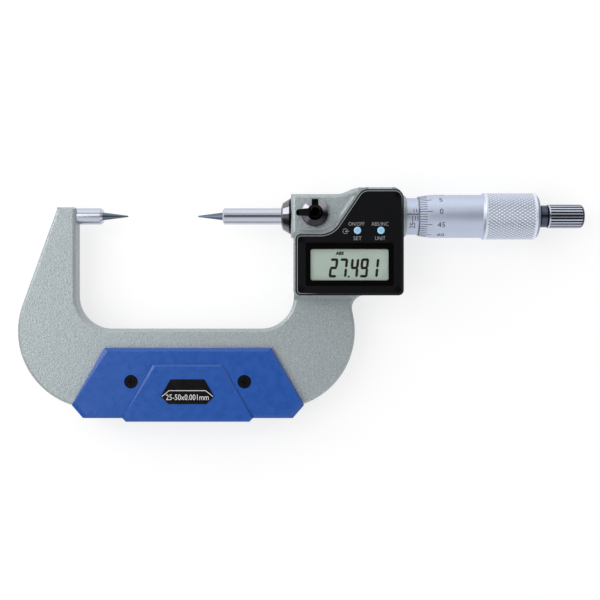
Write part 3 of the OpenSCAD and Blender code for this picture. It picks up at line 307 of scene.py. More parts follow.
def lever_chrome():
    """Black chrome on the cast lever.

    Its hub, fin and neck stay black, and its sloping face is painted light grey on the neck's side as a
    painted highlight.
    """
    base = start("lever_chrome", 1.5)
    tree, place, _, _ = base
    hub_z, neck_half_width = 2.25, 1.3
    off = add(tree, "ShaderNodeVectorMath", {0: place, 1: at(*LEVER_AXIS)}, operation="SUBTRACT")
    off = add(tree, "ShaderNodeSeparateXYZ", {0: off})
    high = add(tree, "ShaderNodeMath", {0: off.outputs["Z"], 1: hub_z * MM}, operation="GREATER_THAN")
    beside = add(tree, "ShaderNodeMath", {0: off.outputs["X"]}, operation="ABSOLUTE")
    within = add(tree, "ShaderNodeMath", {0: beside, 1: neck_half_width * MM}, operation="LESS_THAN")
    beyond = add(tree, "ShaderNodeMath", {0: off.outputs["Y"], 1: 0.0}, operation="GREATER_THAN")
    neck = add(tree, "ShaderNodeMath", {0: within, 1: beyond}, operation="MULTIPLY")
    black = add(tree, "ShaderNodeMath", {0: high, 1: neck}, operation="MAXIMUM")
    # Painted highlight: the sloping face turns light grey towards the neck's side of the axis
    bright = add(tree, "ShaderNodeMapRange", {
        "Value": off.outputs["Y"], "From Min": -0.6 * MM, "From Max": 0.4 * MM})
    finish(base, linear("#45454B"), rough=(0.06, 0.14), metal=1.0,
           layers=[(bright, linear("#A4A4AC")), (black, linear("#0E0E10"))])


def turned_plate(name, dark, light, rough, grooves=None):
    """Plated steel off the lathe: a soft metal with fine rings round the axis.

    grooves, where there is a knurl or flutes, are the x they start at, the radius of their ground and of
    their crests, and the colour of each: past that x the grip is painted lighter, a painted highlight, and
    the ground darker, a painted shade.
    """
    base = start(name, 0.25, 3.0, FINE_RINGS)
    tree, place, _, _ = base
    layers = []
    if grooves:
        from_x, low, crest, shade, shine = grooves
        off = add(tree, "ShaderNodeVectorMath", {0: place, 1: (0, TIP.y, TIP.z)}, operation="SUBTRACT")
        across = add(tree, "ShaderNodeVectorMath", {0: off, 1: (0, 1, 1)}, operation="MULTIPLY")
        radius = add(tree, "ShaderNodeVectorMath", {0: across}, operation="LENGTH")
        depth = add(tree, "ShaderNodeMapRange", {
            "Value": radius, "From Min": low * MM, "From Max": crest * MM, "To Min": 1.0, "To Max": 0.0})
        along = add(tree, "ShaderNodeSeparateXYZ", {0: place})
        grip = add(tree, "ShaderNodeMath", {0: along.outputs["X"], 1: at(from_x, 0, 0).x},
                   operation="GREATER_THAN")
        ground = add(tree, "ShaderNodeMath", {0: depth, 1: grip}, operation="MULTIPLY")
        # Painted highlight over the whole grip past from_x, then painted shade on the floors of the grooves
        layers = [(grip, linear(shine)), (ground, linear(shade))]
    finish(base, linear(dark), linear(light), rough, 1.0, (0.08, 0.00002), layers)


def spark_textured_abs(colour):
    """Black ABS from a spark-eroded mould: an even matt grain, drawn coarser than it is so that it shows."""
    finish(start("spark_textured_abs", 0.18), colour, rough=(0.32, 0.45), bump=(0.12, 0.00003),
           inputs={"Specular IOR Level": 0.15})


def polished_rim():
    """The bead on the cover's rim: painted grey on the left and the top as a painted highlight, fading to
    black beyond.
    """
    base = start("polished_rim", 3.0)
    tree, place, _, _ = base
    corner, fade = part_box("display_cover")[0], 8.0
    off = add(tree, "ShaderNodeVectorMath", {0: place, 1: corner}, operation="SUBTRACT")
    off = add(tree, "ShaderNodeSeparateXYZ", {0: off})
    beyond = add(tree, "ShaderNodeMath", {0: off.outputs["X"], 1: off.outputs["Y"]}, operation="SUBTRACT")
    # Painted highlight: grey along the cover's left and top, fading to the cover's black towards the right
    # and the bottom
    black = add(tree, "ShaderNodeMapRange", {"Value": beyond, "From Min": 0.0, "From Max": fade * MM})
    finish(base, linear("#95979C"), rough=(0.26, 0.36), layers=[(black, linear("#1C1D20"))])


def acrylic_window():
    """Clear cast acrylic with a hard anti-glare coat: only a little gloss shows."""
    finish(start("acrylic_window", 6.0, 1.0), (1.0, 1.0, 1.0), rough=(0.0, 0.03),
           inputs={"IOR": 1.49, "Specular IOR Level": 0.2, "Transmission Weight": 1.0})


def display_glass(colour):
    """Reflective liquid crystal glass: a flat grey green, clouded very slightly."""
    finish(start("display_glass", 9.0, 1.0), scaled(colour, 0.96), scaled(colour, 1.04), 0.5)


def display_ink():
    """Switched-on liquid crystal: a flat blue black."""
    finish(start("display_ink", 1.0, 1.0), linear("#0A0C0E"), linear("#121518"), 0.6)


def printed_ink(name, code):
    """Screen printed or etched ink: matt, and slightly uneven."""
    finish(start(name, 0.3), scaled(linear(code), 0.9), linear(code), 0.6)


def gloss_moulding(name, colour, rough, dish=None):
    """Semi-gloss moulded plastic with the faint waves of its mould.

    dish is the middle of a button's round top: there the colour is painted darker as painted shade, easing
    back to its own colour towards the rim.
    """
    base = start(name, 3.0)
    tree, place, _, _ = base
    layers = []
    if dish:
        bowl_r, rim_r = 0.65, 0.95
        off = add(tree, "ShaderNodeVectorMath", {0: place, 1: at(*dish)}, operation="SUBTRACT")
        flat = add(tree, "ShaderNodeVectorMath", {0: off, 1: (1, 1, 0)}, operation="MULTIPLY")
        away = add(tree, "ShaderNodeVectorMath", {0: flat}, operation="LENGTH")
        # Painted shade: darker in the middle of the button's top
        middle_shade = add(tree, "ShaderNodeMapRange", {
            "Value": away, "From Min": bowl_r * MM, "From Max": rim_r * MM, "To Min": 1.0, "To Max": 0.0})
        layers = [(middle_shade, scaled(colour, 0.8))]
    finish(base, scaled(colour, 0.95), scaled(colour, 1.04), rough, 0.0, (0.05, 0.0001), layers,
           {"IOR": 1.5, "Specular IOR Level": 0.4})


def black_oxide():
    """Black oxide on a steel screw: oily black with a dull shine."""
    finish(start("black_oxide", 0.4), linear("#17171A"), rough=(0.35, 0.5), metal=0.9)


def moulded_rubber():
    """Black nitrile rubber: matt and slightly dusty."""
    finish(start("moulded_rubber", 0.5, 3.0), linear("#0C0C0D"), linear("#151516"), 0.8)


def plain_brass():
    """Turned brass, with rings from the tool."""
    finish(start("plain_brass", 0.4, 2.0, COARSE_RINGS), linear("#CDA85A"), rough=(0.25, 0.4), metal=1.0)


def circuit_laminate():
    """Green solder mask on glass-epoxy laminate, with its weave showing faintly."""
    finish(start("circuit_laminate", 0.5, 1.0), linear("#154A2C"), linear("#1F6B40"), 0.35)


FINISH_OF = {
    "hammered_enamel": ("frame",),
    "ground_steel": ("anvil", "spindle", "clamp_screw", "inner_sleeve", "adjusting_nut", "ratchet_plate",
                     "ratchet_spring", "ratchet_stop_screw", "drive_key", "dome_left", "dome_right",
                     "battery", "battery_lid_screws"),
    "ground_carbide": ("anvil_point", "spindle_point"),
    "smoked_chrome": ("nose_collar",),
    "neck_nickel": ("ratchet_body", "ratchet_end_cap"),
    "knob_nickel": ("ratchet_knob",),
    "lever_chrome": ("clamp_lever",),
    "satin_plate": ("sleeve", "thimble"),
    "spark_textured_abs": ("display_cover", "battery_lid"),
    "acrylic_window": ("lcd_window",),
    "display_glass": ("lcd_panel",),
    "button_moulding_left": ("button_left",),
    "button_moulding_right": ("button_right",),
    "plate_moulding": ("plate_front", "plate_back"),
    "black_oxide": ("cover_screws", "plate_screws_front", "plate_screws_back"),
    "badge_enamel": ("badge",),
    "moulded_rubber": ("spindle_seal", "processor_chip", "zebra_strips", "cover_gasket",
                       "battery_lid_seal"),
    "plain_brass": ("clamp_pad", "encoder_rotor", "battery_contacts"),
    "circuit_laminate": ("encoder_stator", "circuit_board"),
}


# Modelling

def selected_none():
    """Back to object mode with nothing selected, and edit mode set to pick vertices."""
    if bpy.context.object and bpy.context.object.mode != "OBJECT":
        bpy.ops.object.mode_set(mode="OBJECT")
    bpy.ops.object.select_all(action="DESELECT")
    bpy.context.tool_settings.mesh_select_mode = (True, False, False)


def edit_all():
    """Edit mode with everything selected."""
    bpy.ops.object.mode_set(mode="EDIT")
    bpy.ops.mesh.select_all(action="SELECT")


def welded(distance):
    """Merges doubles nearer than that, in metres, turns every face outwards and leaves edit mode."""
    bpy.ops.mesh.select_all(action="SELECT")
    bpy.ops.mesh.remove_doubles(threshold=distance)
    bpy.ops.mesh.normals_make_consistent(inside=False)
    bpy.ops.object.mode_set(mode="OBJECT")


def settle(piece, name, material):
    """Names a new piece, puts its place into its mesh and gives it its finish."""
    selected_none()
    piece.select_set(True)
    bpy.context.view_layer.objects.active = piece
    bpy.ops.object.transform_apply()
    piece.name = name
    piece.data.name = name
    piece.data.materials.clear()
    piece.data.materials.append(bpy.data.materials[material])
    return piece


def pick(piece, test, kind="VERT"):
    """Leaves edit mode with only the vertices or faces selected that pass the test."""
    bpy.ops.object.mode_set(mode="EDIT")
    bpy.ops.mesh.select_mode(type=kind)
    bpy.ops.mesh.select_all(action="DESELECT")
    bpy.ops.object.mode_set(mode="OBJECT")
    for item in piece.data.vertices if kind == "VERT" else piece.data.polygons:
        item.select = test(item)
    bpy.ops.object.mode_set(mode="EDIT")


def joined(pieces):
    """Joins pieces into the first one."""
    selected_none()
    for piece in pieces:
        piece.select_set(True)
    bpy.context.view_layer.objects.active = pieces[0]
    bpy.ops.object.join()
    return pieces[0]


def copy_of(piece, matrix):
    """A copy with its own mesh, moved by a matrix."""
    twin = piece.copy()
    twin.data = piece.data.copy()
    twin.data.transform(matrix)
    bpy.context.scene.collection.objects.link(twin)
    return twin


def about_axis(degrees):
    """Turn about the measuring axis, from the display side towards +y."""
    turn = Matrix.Rotation(-math.radians(degrees), 4, "X")
    return Matrix.Translation(TIP) @ turn @ Matrix.Translation(-TIP)


def lathe(profile, segments):
    """Turns a closed outline of (x, radius) about the measuring axis, ring by ring."""
    selected_none()
    x, r = profile[0]
    bpy.ops.mesh.primitive_circle_add(vertices=segments, radius=r * MM, location=at(x, 0, 0),
                                      rotation=(0, math.pi / 2, 0))
    piece = bpy.context.object
    bpy.ops.object.transform_apply()
    edit_all()
    for nx, nr in profile[1:] + profile[:1]:
        bpy.ops.mesh.extrude_region_move(TRANSFORM_OT_translate={"value": ((nx - x) * MM, 0, 0)})
        bpy.ops.transform.resize(value=(1, nr / r, nr / r), center_override=at(nx, 0, 0))
        x, r = nx, nr
    welded(0.000002)
    return piece


def bar(x0, x1, y0, y1, z0, z1):
    """A cuboid between two corners, in millimetres."""
    selected_none()
    bpy.ops.mesh.primitive_cube_add(size=1, location=at((x0 + x1) / 2, (y0 + y1) / 2, (z0 + z1) / 2))
    piece = bpy.context.object
    piece.scale = ((x1 - x0) * MM, (y1 - y0) * MM, (z1 - z0) * MM)
    bpy.ops.object.transform_apply()
    return piece


def arc_bar(x, width, degrees0, degrees1):
    """A mark round the sleeve between two angles: a small end face, spun."""
    selected_none()
    bpy.ops.mesh.primitive_plane_add(size=1, location=at(x, 0, SLEEVE_R - SUNK))
    piece = bpy.context.object
    piece.rotation_euler = (math.pi / 2, 0, 0)
    piece.scale = (width * MM, 2 * (SUNK + PROUD) * MM, 1)
    bpy.ops.object.transform_apply()
    piece.data.transform(about_axis(degrees0))
    edit_all()
    bpy.ops.mesh.spin(steps=6, angle=math.radians(degrees1 - degrees0), center=TIP, axis=(1, 0, 0))
    welded(0.000001)
    return piece


def words(text, place, height, width, turn=0.0, thickness=0.02, weight=0.0):
    """Lettering as a thin plate that looks up, with its middle at a place given in millimetres.

    weight is how much bolder, or with a minus finer, its strokes are on each side.
    """
    selected_none()
    bpy.ops.object.text_add()
    piece = bpy.context.object
    piece.data.body = text
    capital_share = 0.7
    piece.data.size = height * MM / capital_share
    piece.data.align_x = "CENTER"
    piece.data.align_y = "CENTER"
    piece.data.extrude = thickness * MM / 2
    piece.data.offset = weight * MM
    piece.data.resolution_u = 3
    bpy.ops.object.convert(target="MESH")
    piece = bpy.context.object
    edit_all()
    bpy.ops.mesh.remove_doubles(threshold=0.000001)
    bpy.ops.object.mode_set(mode="OBJECT")
    across = [v.co.x for v in piece.data.vertices]
    up = [v.co.y for v in piece.data.vertices]
    middle = Vector(((min(across) + max(across)) / 2, (min(up) + max(up)) / 2, 0))
    wide = width * MM / (max(across) - min(across))
    tall = height * MM / (max(up) - min(up))
    piece.data.transform(Matrix.Translation(at(*place)) @ Matrix.Rotation(math.radians(turn), 4, "Z")
                         @ Matrix.Diagonal((wide, tall, 1, 1)) @ Matrix.Translation(-middle))
    return piece


def wrapped(piece, target):
    """Lays a thin plate of lettering down on a round piece under it."""
    selected_none()
    piece.select_set(True)
    bpy.context.view_layer.objects.active = piece
    edit_all()
    bpy.ops.mesh.quads_convert_to_tris()
    bpy.ops.mesh.subdivide(number_cuts=2)
    bpy.ops.object.mode_set(mode="OBJECT")
    wrap = piece.modifiers.new("wrap", "SHRINKWRAP")
    wrap.target = target
    wrap.wrap_method = "PROJECT"
    wrap.use_project_z = True
    wrap.use_negative_direction = True
    wrap.use_positive_direction = True
    wrap.offset = PROUD * MM
    bpy.ops.object.modifier_apply(modifier=wrap.name)
    return piece


class MICROMETER_OT_finishes(bpy.types.Operator):
    """Give every CAD node the finish of the real piece"""

    bl_idname = "micrometer.finishes"
    bl_label = "Finishes"

    def execute(self, context):
        colours = context.scene.micrometer_colours
        depth = context.scene.micrometer_sizes.knurl_depth / MM
        hammered_enamel(colours.enamel)
        ground_steel()
        ground_carbide()
        smoked_chrome()
        lever_chrome()
        satin = ("#BCC5D8", "#CAD2E5", (0.42, 0.52))
        turned_plate("satin_plate", *satin)
        # The last two colours of the knurl and of the knob are painted shade for the grooves and a painted
        # highlight for the grip
        turned_plate("knurled_satin_plate", *satin,
                     (KNURL_X - 0.1, GRIP_R - depth, GRIP_R - 0.55 * depth, "#8F99B0", "#E4E9F4"))
        turned_plate("neck_nickel", "#434857", "#525868", (0.16, 0.26))
        turned_plate("knob_nickel", "#A8AEC0", "#BCC2D2", (0.16, 0.26),
                     (KNOB_X, KNOB_R - 0.22, KNOB_R - 0.03, "#24262F", "#C4CAD8"))
        spark_textured_abs(colours.cover)
        polished_rim()
        acrylic_window()
        display_glass(colours.display)
        display_ink()
        printed_ink("label_ink", "#A8A9AC")
        printed_ink("badge_ink", "#E8E8E8")
        printed_ink("etched_mark_ink", "#232838")
        for side, button in zip(("left", "right"), BUTTONS):
            gloss_moulding("button_moulding_" + side, colours.buttons, (0.15, 0.25), button)
        gloss_moulding("plate_moulding", colours.plates, (0.22, 0.34))
        gloss_moulding("badge_enamel", linear("#0C0D0F"), (0.12, 0.2))
        black_oxide()
        moulded_rubber()
        plain_brass()
        circuit_laminate()
        for name, nodes in FINISH_OF.items():
            for node in nodes:
                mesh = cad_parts[node].data
                mesh.materials.clear()
                mesh.materials.append(bpy.data.materials[name])
        return {"FINISHED"}


class MICROMETER_OT_thimble(bpy.types.Operator):
    """Turn the thimble and knurl its grip"""

    bl_idname = "micrometer.thimble"
    bl_label = "Thimble"

    def execute(self, context):
        sizes = context.scene.micrometer_sizes
        rows = sizes.knurl_rows
        step = (KNURL_END - KNURL_X) / rows
        segments = 2 * sizes.knurl_starts
        # From the front edge along the outside to the rear end, and back through the holes
        end, hole_r, taper_r = THIMBLE_END, 3.07, 3.47
        profile = [(THIMBLE_X, EDGE_R - 0.1), (CONE_X, EDGE_R), (BARREL_X, BARREL_R),
                   (GRIP_X - 0.3, BARREL_R), (GRIP_X, BARREL_R + 0.1)]
        profile += [(KNURL_X + i * step, GRIP_R) for i in range(rows + 1)]
        profile += [(end - 0.3, GRIP_R - 1.04), (end, GRIP_R - 1.54), (end, hole_r), (end - 1.5, hole_r),
                    (end - 10, taper_r), (end - 10, BORE_R - 1.5), (end - 11.5, BORE_R), (THIMBLE_X, BORE_R)]
        piece = lathe(profile, segments)

        def valley(vertex):
            """Whether a vertex of the grip lies at the bottom of a groove: every other one does."""
            p = local(vertex.co)
            row = round((p.x - KNURL_X) / step)
            if not 0 < row < rows or math.hypot(p.y, p.z) < GRIP_R - 0.05:
                return False
            column = round(math.atan2(p.y, p.z) / (2 * math.pi) * segments)
            return (row + column) % 2 == 1

        def knurled(face):
            return all(KNURL_X - 0.01 < local(piece.data.vertices[v].co).x < KNURL_END + 0.01
                       for v in face.vertices)

        pick(piece, valley)
        shrink = 1 - sizes.knurl_depth / (GRIP_R * MM)
        bpy.ops.transform.resize(value=(1, shrink, shrink), center_override=TIP)
        pick(piece, knurled, "FACE")
        bpy.ops.mesh.quads_convert_to_tris(quad_method="SHORTEST_DIAGONAL")
        bpy.ops.object.mode_set(mode="OBJECT")
        settle(piece, "thimble_turned", "knurled_satin_plate")
        bpy.ops.object.shade_smooth_by_angle(angle=math.radians(12))
        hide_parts("thimble")
        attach(piece, "spindle_unit")
        return {"FINISHED"}


class MICROMETER_OT_scales(bpy.types.Operator):
    """Etch the graduations and numbers of the sleeve and the thimble"""

    bl_idname = "micrometer.scales"
    bl_label = "Scales"

    def execute(self, context):
        sizes = context.scene.micrometer_sizes
        width = sizes.mark_width / MM
        tall = sizes.number_height / MM
        roll = about_axis(math.degrees(sizes.line_roll))

        # Sleeve: a line along it, whole millimetres below it and halves above, with a small gap between
        gap, half_mark, whole_mark, fifth_mark = 0.7, 1.5, 1.9, 2.6
        number_off, number_width = 4.6, 2.4
        per_mm = math.degrees(1 / SLEEVE_R)
        side = 0.7 * width
        marks = [bar(ZERO_X - 2.2, SLEEVE_END - 0.5, -side, side, SLEEVE_R - 0.05, SLEEVE_R + PROUD)]
        for half in range(51):
            if half % 2:
                ends = (gap, gap + half_mark)
            else:
                ends = (-gap, -gap - (fifth_mark if half % 10 == 0 else whole_mark))
            marks.append(arc_bar(ZERO_X + half / 2, width, *(end * per_mm for end in ends)))
        for millimetres in range(0, 26, 5):
            x = min(ZERO_X + millimetres, SLEEVE_END - 0.6 * tall)
            number = words(str(RANGE_LOW + millimetres), (x, 0, SLEEVE_R + 1), tall, number_width, 90)
            wrapped(number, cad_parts["sleeve"])
            number.data.transform(about_axis(-number_off * per_mm))
            marks.append(number)
        scale = joined(marks)
        scale.data.transform(roll)
        settle(scale, "sleeve_scale", "etched_mark_ink")
        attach(scale, "body")

        # Thimble: fifty divisions of a hundredth, turned by what the reading is past a half millimetre
        off = (READING - RANGE_LOW) % 0.5 * 100
        short, long, number_x, narrow, broad = 3.3, 5.2, 8.6, 1.35, 3.0
        turns = [about_axis((k - off) * 360 / 50) for k in range(50)]
        cone = (Matrix.Translation(at(CONE_X, 0, EDGE_R))
                @ Matrix.Rotation(-math.atan2(BARREL_R - EDGE_R, BARREL_X - CONE_X), 4, "Y")
                @ Matrix.Translation(-at(CONE_X, 0, 0)))
        blanks = [bar(CONE_X, THIMBLE_X + end, -width / 2, width / 2, -0.05, PROUD) for end in (short, long)]
        for blank in blanks:
            blank.data.transform(cone)
        marks = [copy_of(blanks[1 if k % 5 == 0 else 0], turn) for k, turn in enumerate(turns)]
        for blank in blanks:
            bpy.data.objects.remove(blank)
        for k in range(0, 50, 5):
            place = (THIMBLE_X + number_x, 0, GRIP_R + 1)
            number = words(str(k), place, tall, narrow if k < 10 else broad)
            wrapped(number, bpy.data.objects["thimble_turned"])
            number.data.transform(turns[k])
            marks.append(number)

        # A thin dark ring on the thimble's sharp front edge: painted shade of the gap between the thimble
        # and the sleeve
        back_x = THIMBLE_X + 0.35
        marks.append(lathe([(THIMBLE_X - 0.03, BORE_R), (THIMBLE_X + 0.13, EDGE_R + PROUD),
                            (back_x, EDGE_R + 0.045), (back_x, EDGE_R - 0.02)], 96))
        scale = joined(marks)
        scale.data.transform(roll)
        settle(scale, "thimble_scale", "etched_mark_ink")
        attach(scale, "spindle_unit")
        return {"FINISHED"}


SEGMENTS = {  # lit bars of a seven-bar digit: top, middle, bottom, upper and lower, left and right
    "1": "UR LR", "2": "T UR M LL B", "4": "UL UR M LR", "7": "T UR LR", "9": "T UL UR M LR B"}
# The reading's digits, each with the x of its right end, and the y of their feet
DIGITS = (("2", 82.67), ("7", 86.45), ("4", 90.76), ("9", 94.53), ("1", 98.46))
DIGIT_Y = -24.41


class MICROMETER_OT_display(bpy.types.Operator):
    """Show the reading in the display"""

    bl_idname = "micrometer.display"
    bl_label = "Display"

    def execute(self, context):
        sizes = context.scene.micrometer_sizes
        w, h = sizes.digit_width / MM, sizes.digit_height / MM
        thick, gap, plate, slant = 0.98, 0.1, 0.03, 6
        lean = math.tan(math.radians(slant))

        def stroke(length):
            """One bar with pointed ends, lying along x at the tip."""
            piece = bar(-length / 2, length / 2, -thick / 2, thick / 2, 0, plate)
            edit_all()
            bpy.ops.mesh.subdivide(number_cuts=1)
            pick(piece, lambda v: abs(abs(local(v.co).x) - length / 2) < 0.01 and abs(local(v.co).y) > 0.1)
            bpy.ops.transform.resize(value=((length - thick) / length, 1, 1), center_override=TIP)
            bpy.ops.object.mode_set(mode="OBJECT")
            return piece

        across, upright = stroke(w - 2 * gap), stroke(h / 2 - 2 * gap)
        left, right, half = thick / 2, w - thick / 2, w / 2
        places = {
            "T": (across, half, h - thick / 2, 0), "M": (across, half, h / 2, 0),
            "B": (across, half, thick / 2, 0),
            "UL": (upright, left, h * 0.75, 90), "UR": (upright, right, h * 0.75, 90),
            "LL": (upright, left, h * 0.25, 90), "LR": (upright, right, h * 0.25, 90)}
        shear = Matrix(((1, lean, 0, 0), (0, 1, 0, 0), (0, 0, 1, 0), (0, 0, 0, 1)))
        strokes = []
        for digit, end_x in DIGITS:
            corner = Matrix.Translation(at(end_x - w - lean * h, DIGIT_Y, PANEL_Z)) @ shear
            for name in SEGMENTS[digit].split():
                blank, x, y, turn = places[name]
                strokes.append(copy_of(blank, corner @ Matrix.Translation(Vector((x, y, 0)) * MM)
                                       @ Matrix.Rotation(math.radians(turn), 4, "Z")
                                       @ Matrix.Translation(-TIP)))
        bpy.data.objects.remove(across)
        bpy.data.objects.remove(upright)
        x, point_w, point_h = 86.2, 0.75, 0.7
        strokes.append(bar(x, x + point_w, DIGIT_Y, DIGIT_Y + point_h, PANEL_Z, PANEL_Z + plate))
        word, height, width, bolder = (83.1, -15.1, PANEL_Z + plate / 2), 1.3, 3.2, 0.12
        strokes.append(words("ABS", word, height, width, 0, plate, bolder))
        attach(settle(joined(strokes), "display_digits", "display_ink"), "body")
        return {"FINISHED"}


def cover_outline():
    """The rim of the cover's top, read off its CAD mesh: the edges that only one flat top face uses."""
    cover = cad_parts["display_cover"]
    places = [tuple(round(c, 7) for c in cover.matrix_world @ v.co) for v in cover.data.vertices]
    top = max(p[2] for p in places)
    uses = {}
    for face in cover.data.polygons:
        if all(places[v][2] > top - 0.01 * MM for v in face.vertices):
            for edge in face.edge_keys:
                ends = frozenset(places[v] for v in edge)
                uses[ends] = uses.get(ends, 0) + 1
    following = {}
    for ends in (e for e, count in uses.items() if count == 1):
        for end in ends:
            following.setdefault(end, []).extend(ends - {end})
    outline = [min(following)]
    while True:
        ways = [p for p in following[outline[-1]] if p not in outline[-2:]]
        if not ways or ways[0] == outline[0]:
            break
        outline.append(ways[0])
    if len(outline) < 20 or outline[0] not in following[outline[-1]]:
        raise RuntimeError("the cover's rim isn't one closed line")
    return outline


class MICROMETER_OT_rim(bpy.types.Operator):
    """Raise the smooth bead round the cover's rim, which carries a painted highlight"""

    bl_idname = "micrometer.rim"
    bl_label = "Rim"

    def execute(self, context):
        inwards, width, height = 0.12, 0.26, 0.015
        outline = cover_outline()
        selected_none()
        bpy.ops.mesh.primitive_circle_add(vertices=len(outline), radius=10 * MM, fill_type="NGON")
        piece = bpy.context.object
        for vertex, place in zip(piece.data.vertices, outline):
            vertex.co = Vector(place)
        edit_all()
        bpy.ops.mesh.select_mode(type="FACE")
        bpy.ops.mesh.inset(thickness=inwards * MM, depth=0)
        bpy.ops.mesh.select_all(action="INVERT")
        bpy.ops.mesh.delete(type="FACE")
        bpy.ops.mesh.select_all(action="SELECT")
        bpy.ops.mesh.inset(thickness=width * MM, depth=0)
        bpy.ops.mesh.delete(type="FACE")
        bpy.ops.mesh.select_all(action="SELECT")
        bpy.ops.mesh.extrude_region_move(TRANSFORM_OT_translate={"value": (0, 0, height * MM)})
        bpy.ops.mesh.select_all(action="SELECT")
        bpy.ops.mesh.normals_make_consistent(inside=False)
        bpy.ops.object.mode_set(mode="OBJECT")
        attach(settle(piece, "cover_rim_bead", "polished_rim"), "body")
        return {"FINISHED"}


class MICROMETER_OT_labels(bpy.types.Operator):
    """Print the words by the buttons"""

    bl_idname = "micrometer.labels"
    bl_label = "Labels"

    def execute(self, context):
        tall = context.scene.micrometer_sizes.label_height / MM
        left, right = BUTTONS
        above, below, finer = 2.5, -3.0, -0.025
        text_z, low, high = COVER_Z + 0.004, COVER_Z - 0.02, COVER_Z + 0.014
        prints = []
        for text, x, y, width in (
                ("ON/OFF", left.x - 0.4, left.y + above, 6.1), ("SET", left.x, left.y + below, 3.1),
                ("ABS/INC", right.x - 0.4, right.y + above, 6.5),
                ("UNIT", right.x - 0.3, right.y + below, 3.9)):
            prints.append(words(text, (x, y, text_z), tall, width, weight=finer))

        # Sign of the switch: an open ring with a short line into it and a tick across the line
        x, y = left.x - 4.65, left.y - 0.3
        middle, ring_r, ring_hole, gap = at(x, y, text_z), 1.0, 0.86, 0.5
        selected_none()
        bpy.ops.mesh.primitive_circle_add(vertices=32, radius=ring_r * MM, location=middle)
        sign = bpy.context.object
        bpy.ops.object.transform_apply()
        edit_all()
        bpy.ops.mesh.extrude_region_move(TRANSFORM_OT_translate={"value": (0, 0, 0)})
        bpy.ops.transform.resize(value=(ring_hole, ring_hole, 1), center_override=middle)
        bpy.ops.mesh.select_all(action="SELECT")
        bpy.ops.mesh.extrude_region_move(TRANSFORM_OT_translate={"value": (0, 0, 0.01 * MM)})
        pick(sign, lambda f: gap * MM < (f.center - middle).x and abs((f.center - middle).y) < gap * MM,
             "FACE")
        bpy.ops.mesh.delete(type="FACE")
        bpy.ops.object.mode_set(mode="OBJECT")
        prints.append(sign)
        for x0, x1, half in ((-0.1, 1.4, 0.11), (0.35, 0.55, 0.4)):
            prints.append(bar(x + x0, x + x1, y - half, y + half, low, high))
        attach(settle(joined(prints), "cover_labels", "label_ink"), "body")
        return {"FINISHED"}


class MICROMETER_OT_badge_print(bpy.types.Operator):
    """Print the range and the dividing line on the badge"""

    bl_idname = "micrometer.badge_print"
    bl_label = "Badge print"

    def execute(self, context):
        middle, face = (BADGE_LOW.x + BADGE_HIGH.x) / 2, BADGE_HIGH.z
        line_y, waist_y, text_y = (BADGE_LOW.y + up for up in (5.15, 2.85, 2.6))
        bend, reach, half = 7.1, 9.95, 0.13
        low, high, text_height, text_width = face - 0.02, face + 0.015, 2.2, 16.6
        prints = [bar(middle - bend, middle + bend, line_y - half, line_y + half, low, high)]
        for side in (-1, 1):
            along, down = side * (reach - bend), waist_y - line_y
            arm = bar(0, math.hypot(along, down), -half, half, low, high)
            arm.data.transform(Matrix.Translation(at(middle + side * bend, line_y, 0))
                               @ Matrix.Rotation(math.atan2(down, along), 4, "Z")
                               @ Matrix.Translation(-TIP))
            prints.append(arm)
        text = (middle, text_y, face + 0.004)
        prints.append(words("25-50x0.001mm", text, text_height, text_width))
        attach(settle(joined(prints), "badge_print", "badge_ink"), "body")
        return {"FINISHED"}


# Brightness of the studio's soft boxes, by the angle from straight above towards +y. The gap between the
# two boxes, where the camera hangs, is what draws the dark line along polished round steel.
SOFT_BOXES = ((-89, 0.75), (-60, 0.85), (-40, 0.9), (-22, 0.6), (-10, 0.2), (-2, 0.06), (9, 0.06),
              (14, 0.3), (24, 0.7), (45, 0.7), (60, 0.45), (89, 0.45))
# Each lamp's name, place and size in metres, share of the key's power, and turn about its own aim
LAMPS = (("key", (-0.65, 0.10, 0.82), (0.9, 0.9), 1.06, 0),
         ("left_strip", (-0.45, 0.30, 0.17), (0.36, 0.13), 0.14, 40),
         ("far_strip", (0.05, 0.60, 0.20), (1.0, 0.5), 0.27, 0))
LAMP_AIM = Vector((-0.001, 0.0018, 0))
CAMERA_X, CAMERA_Y = 67.85, -33.07


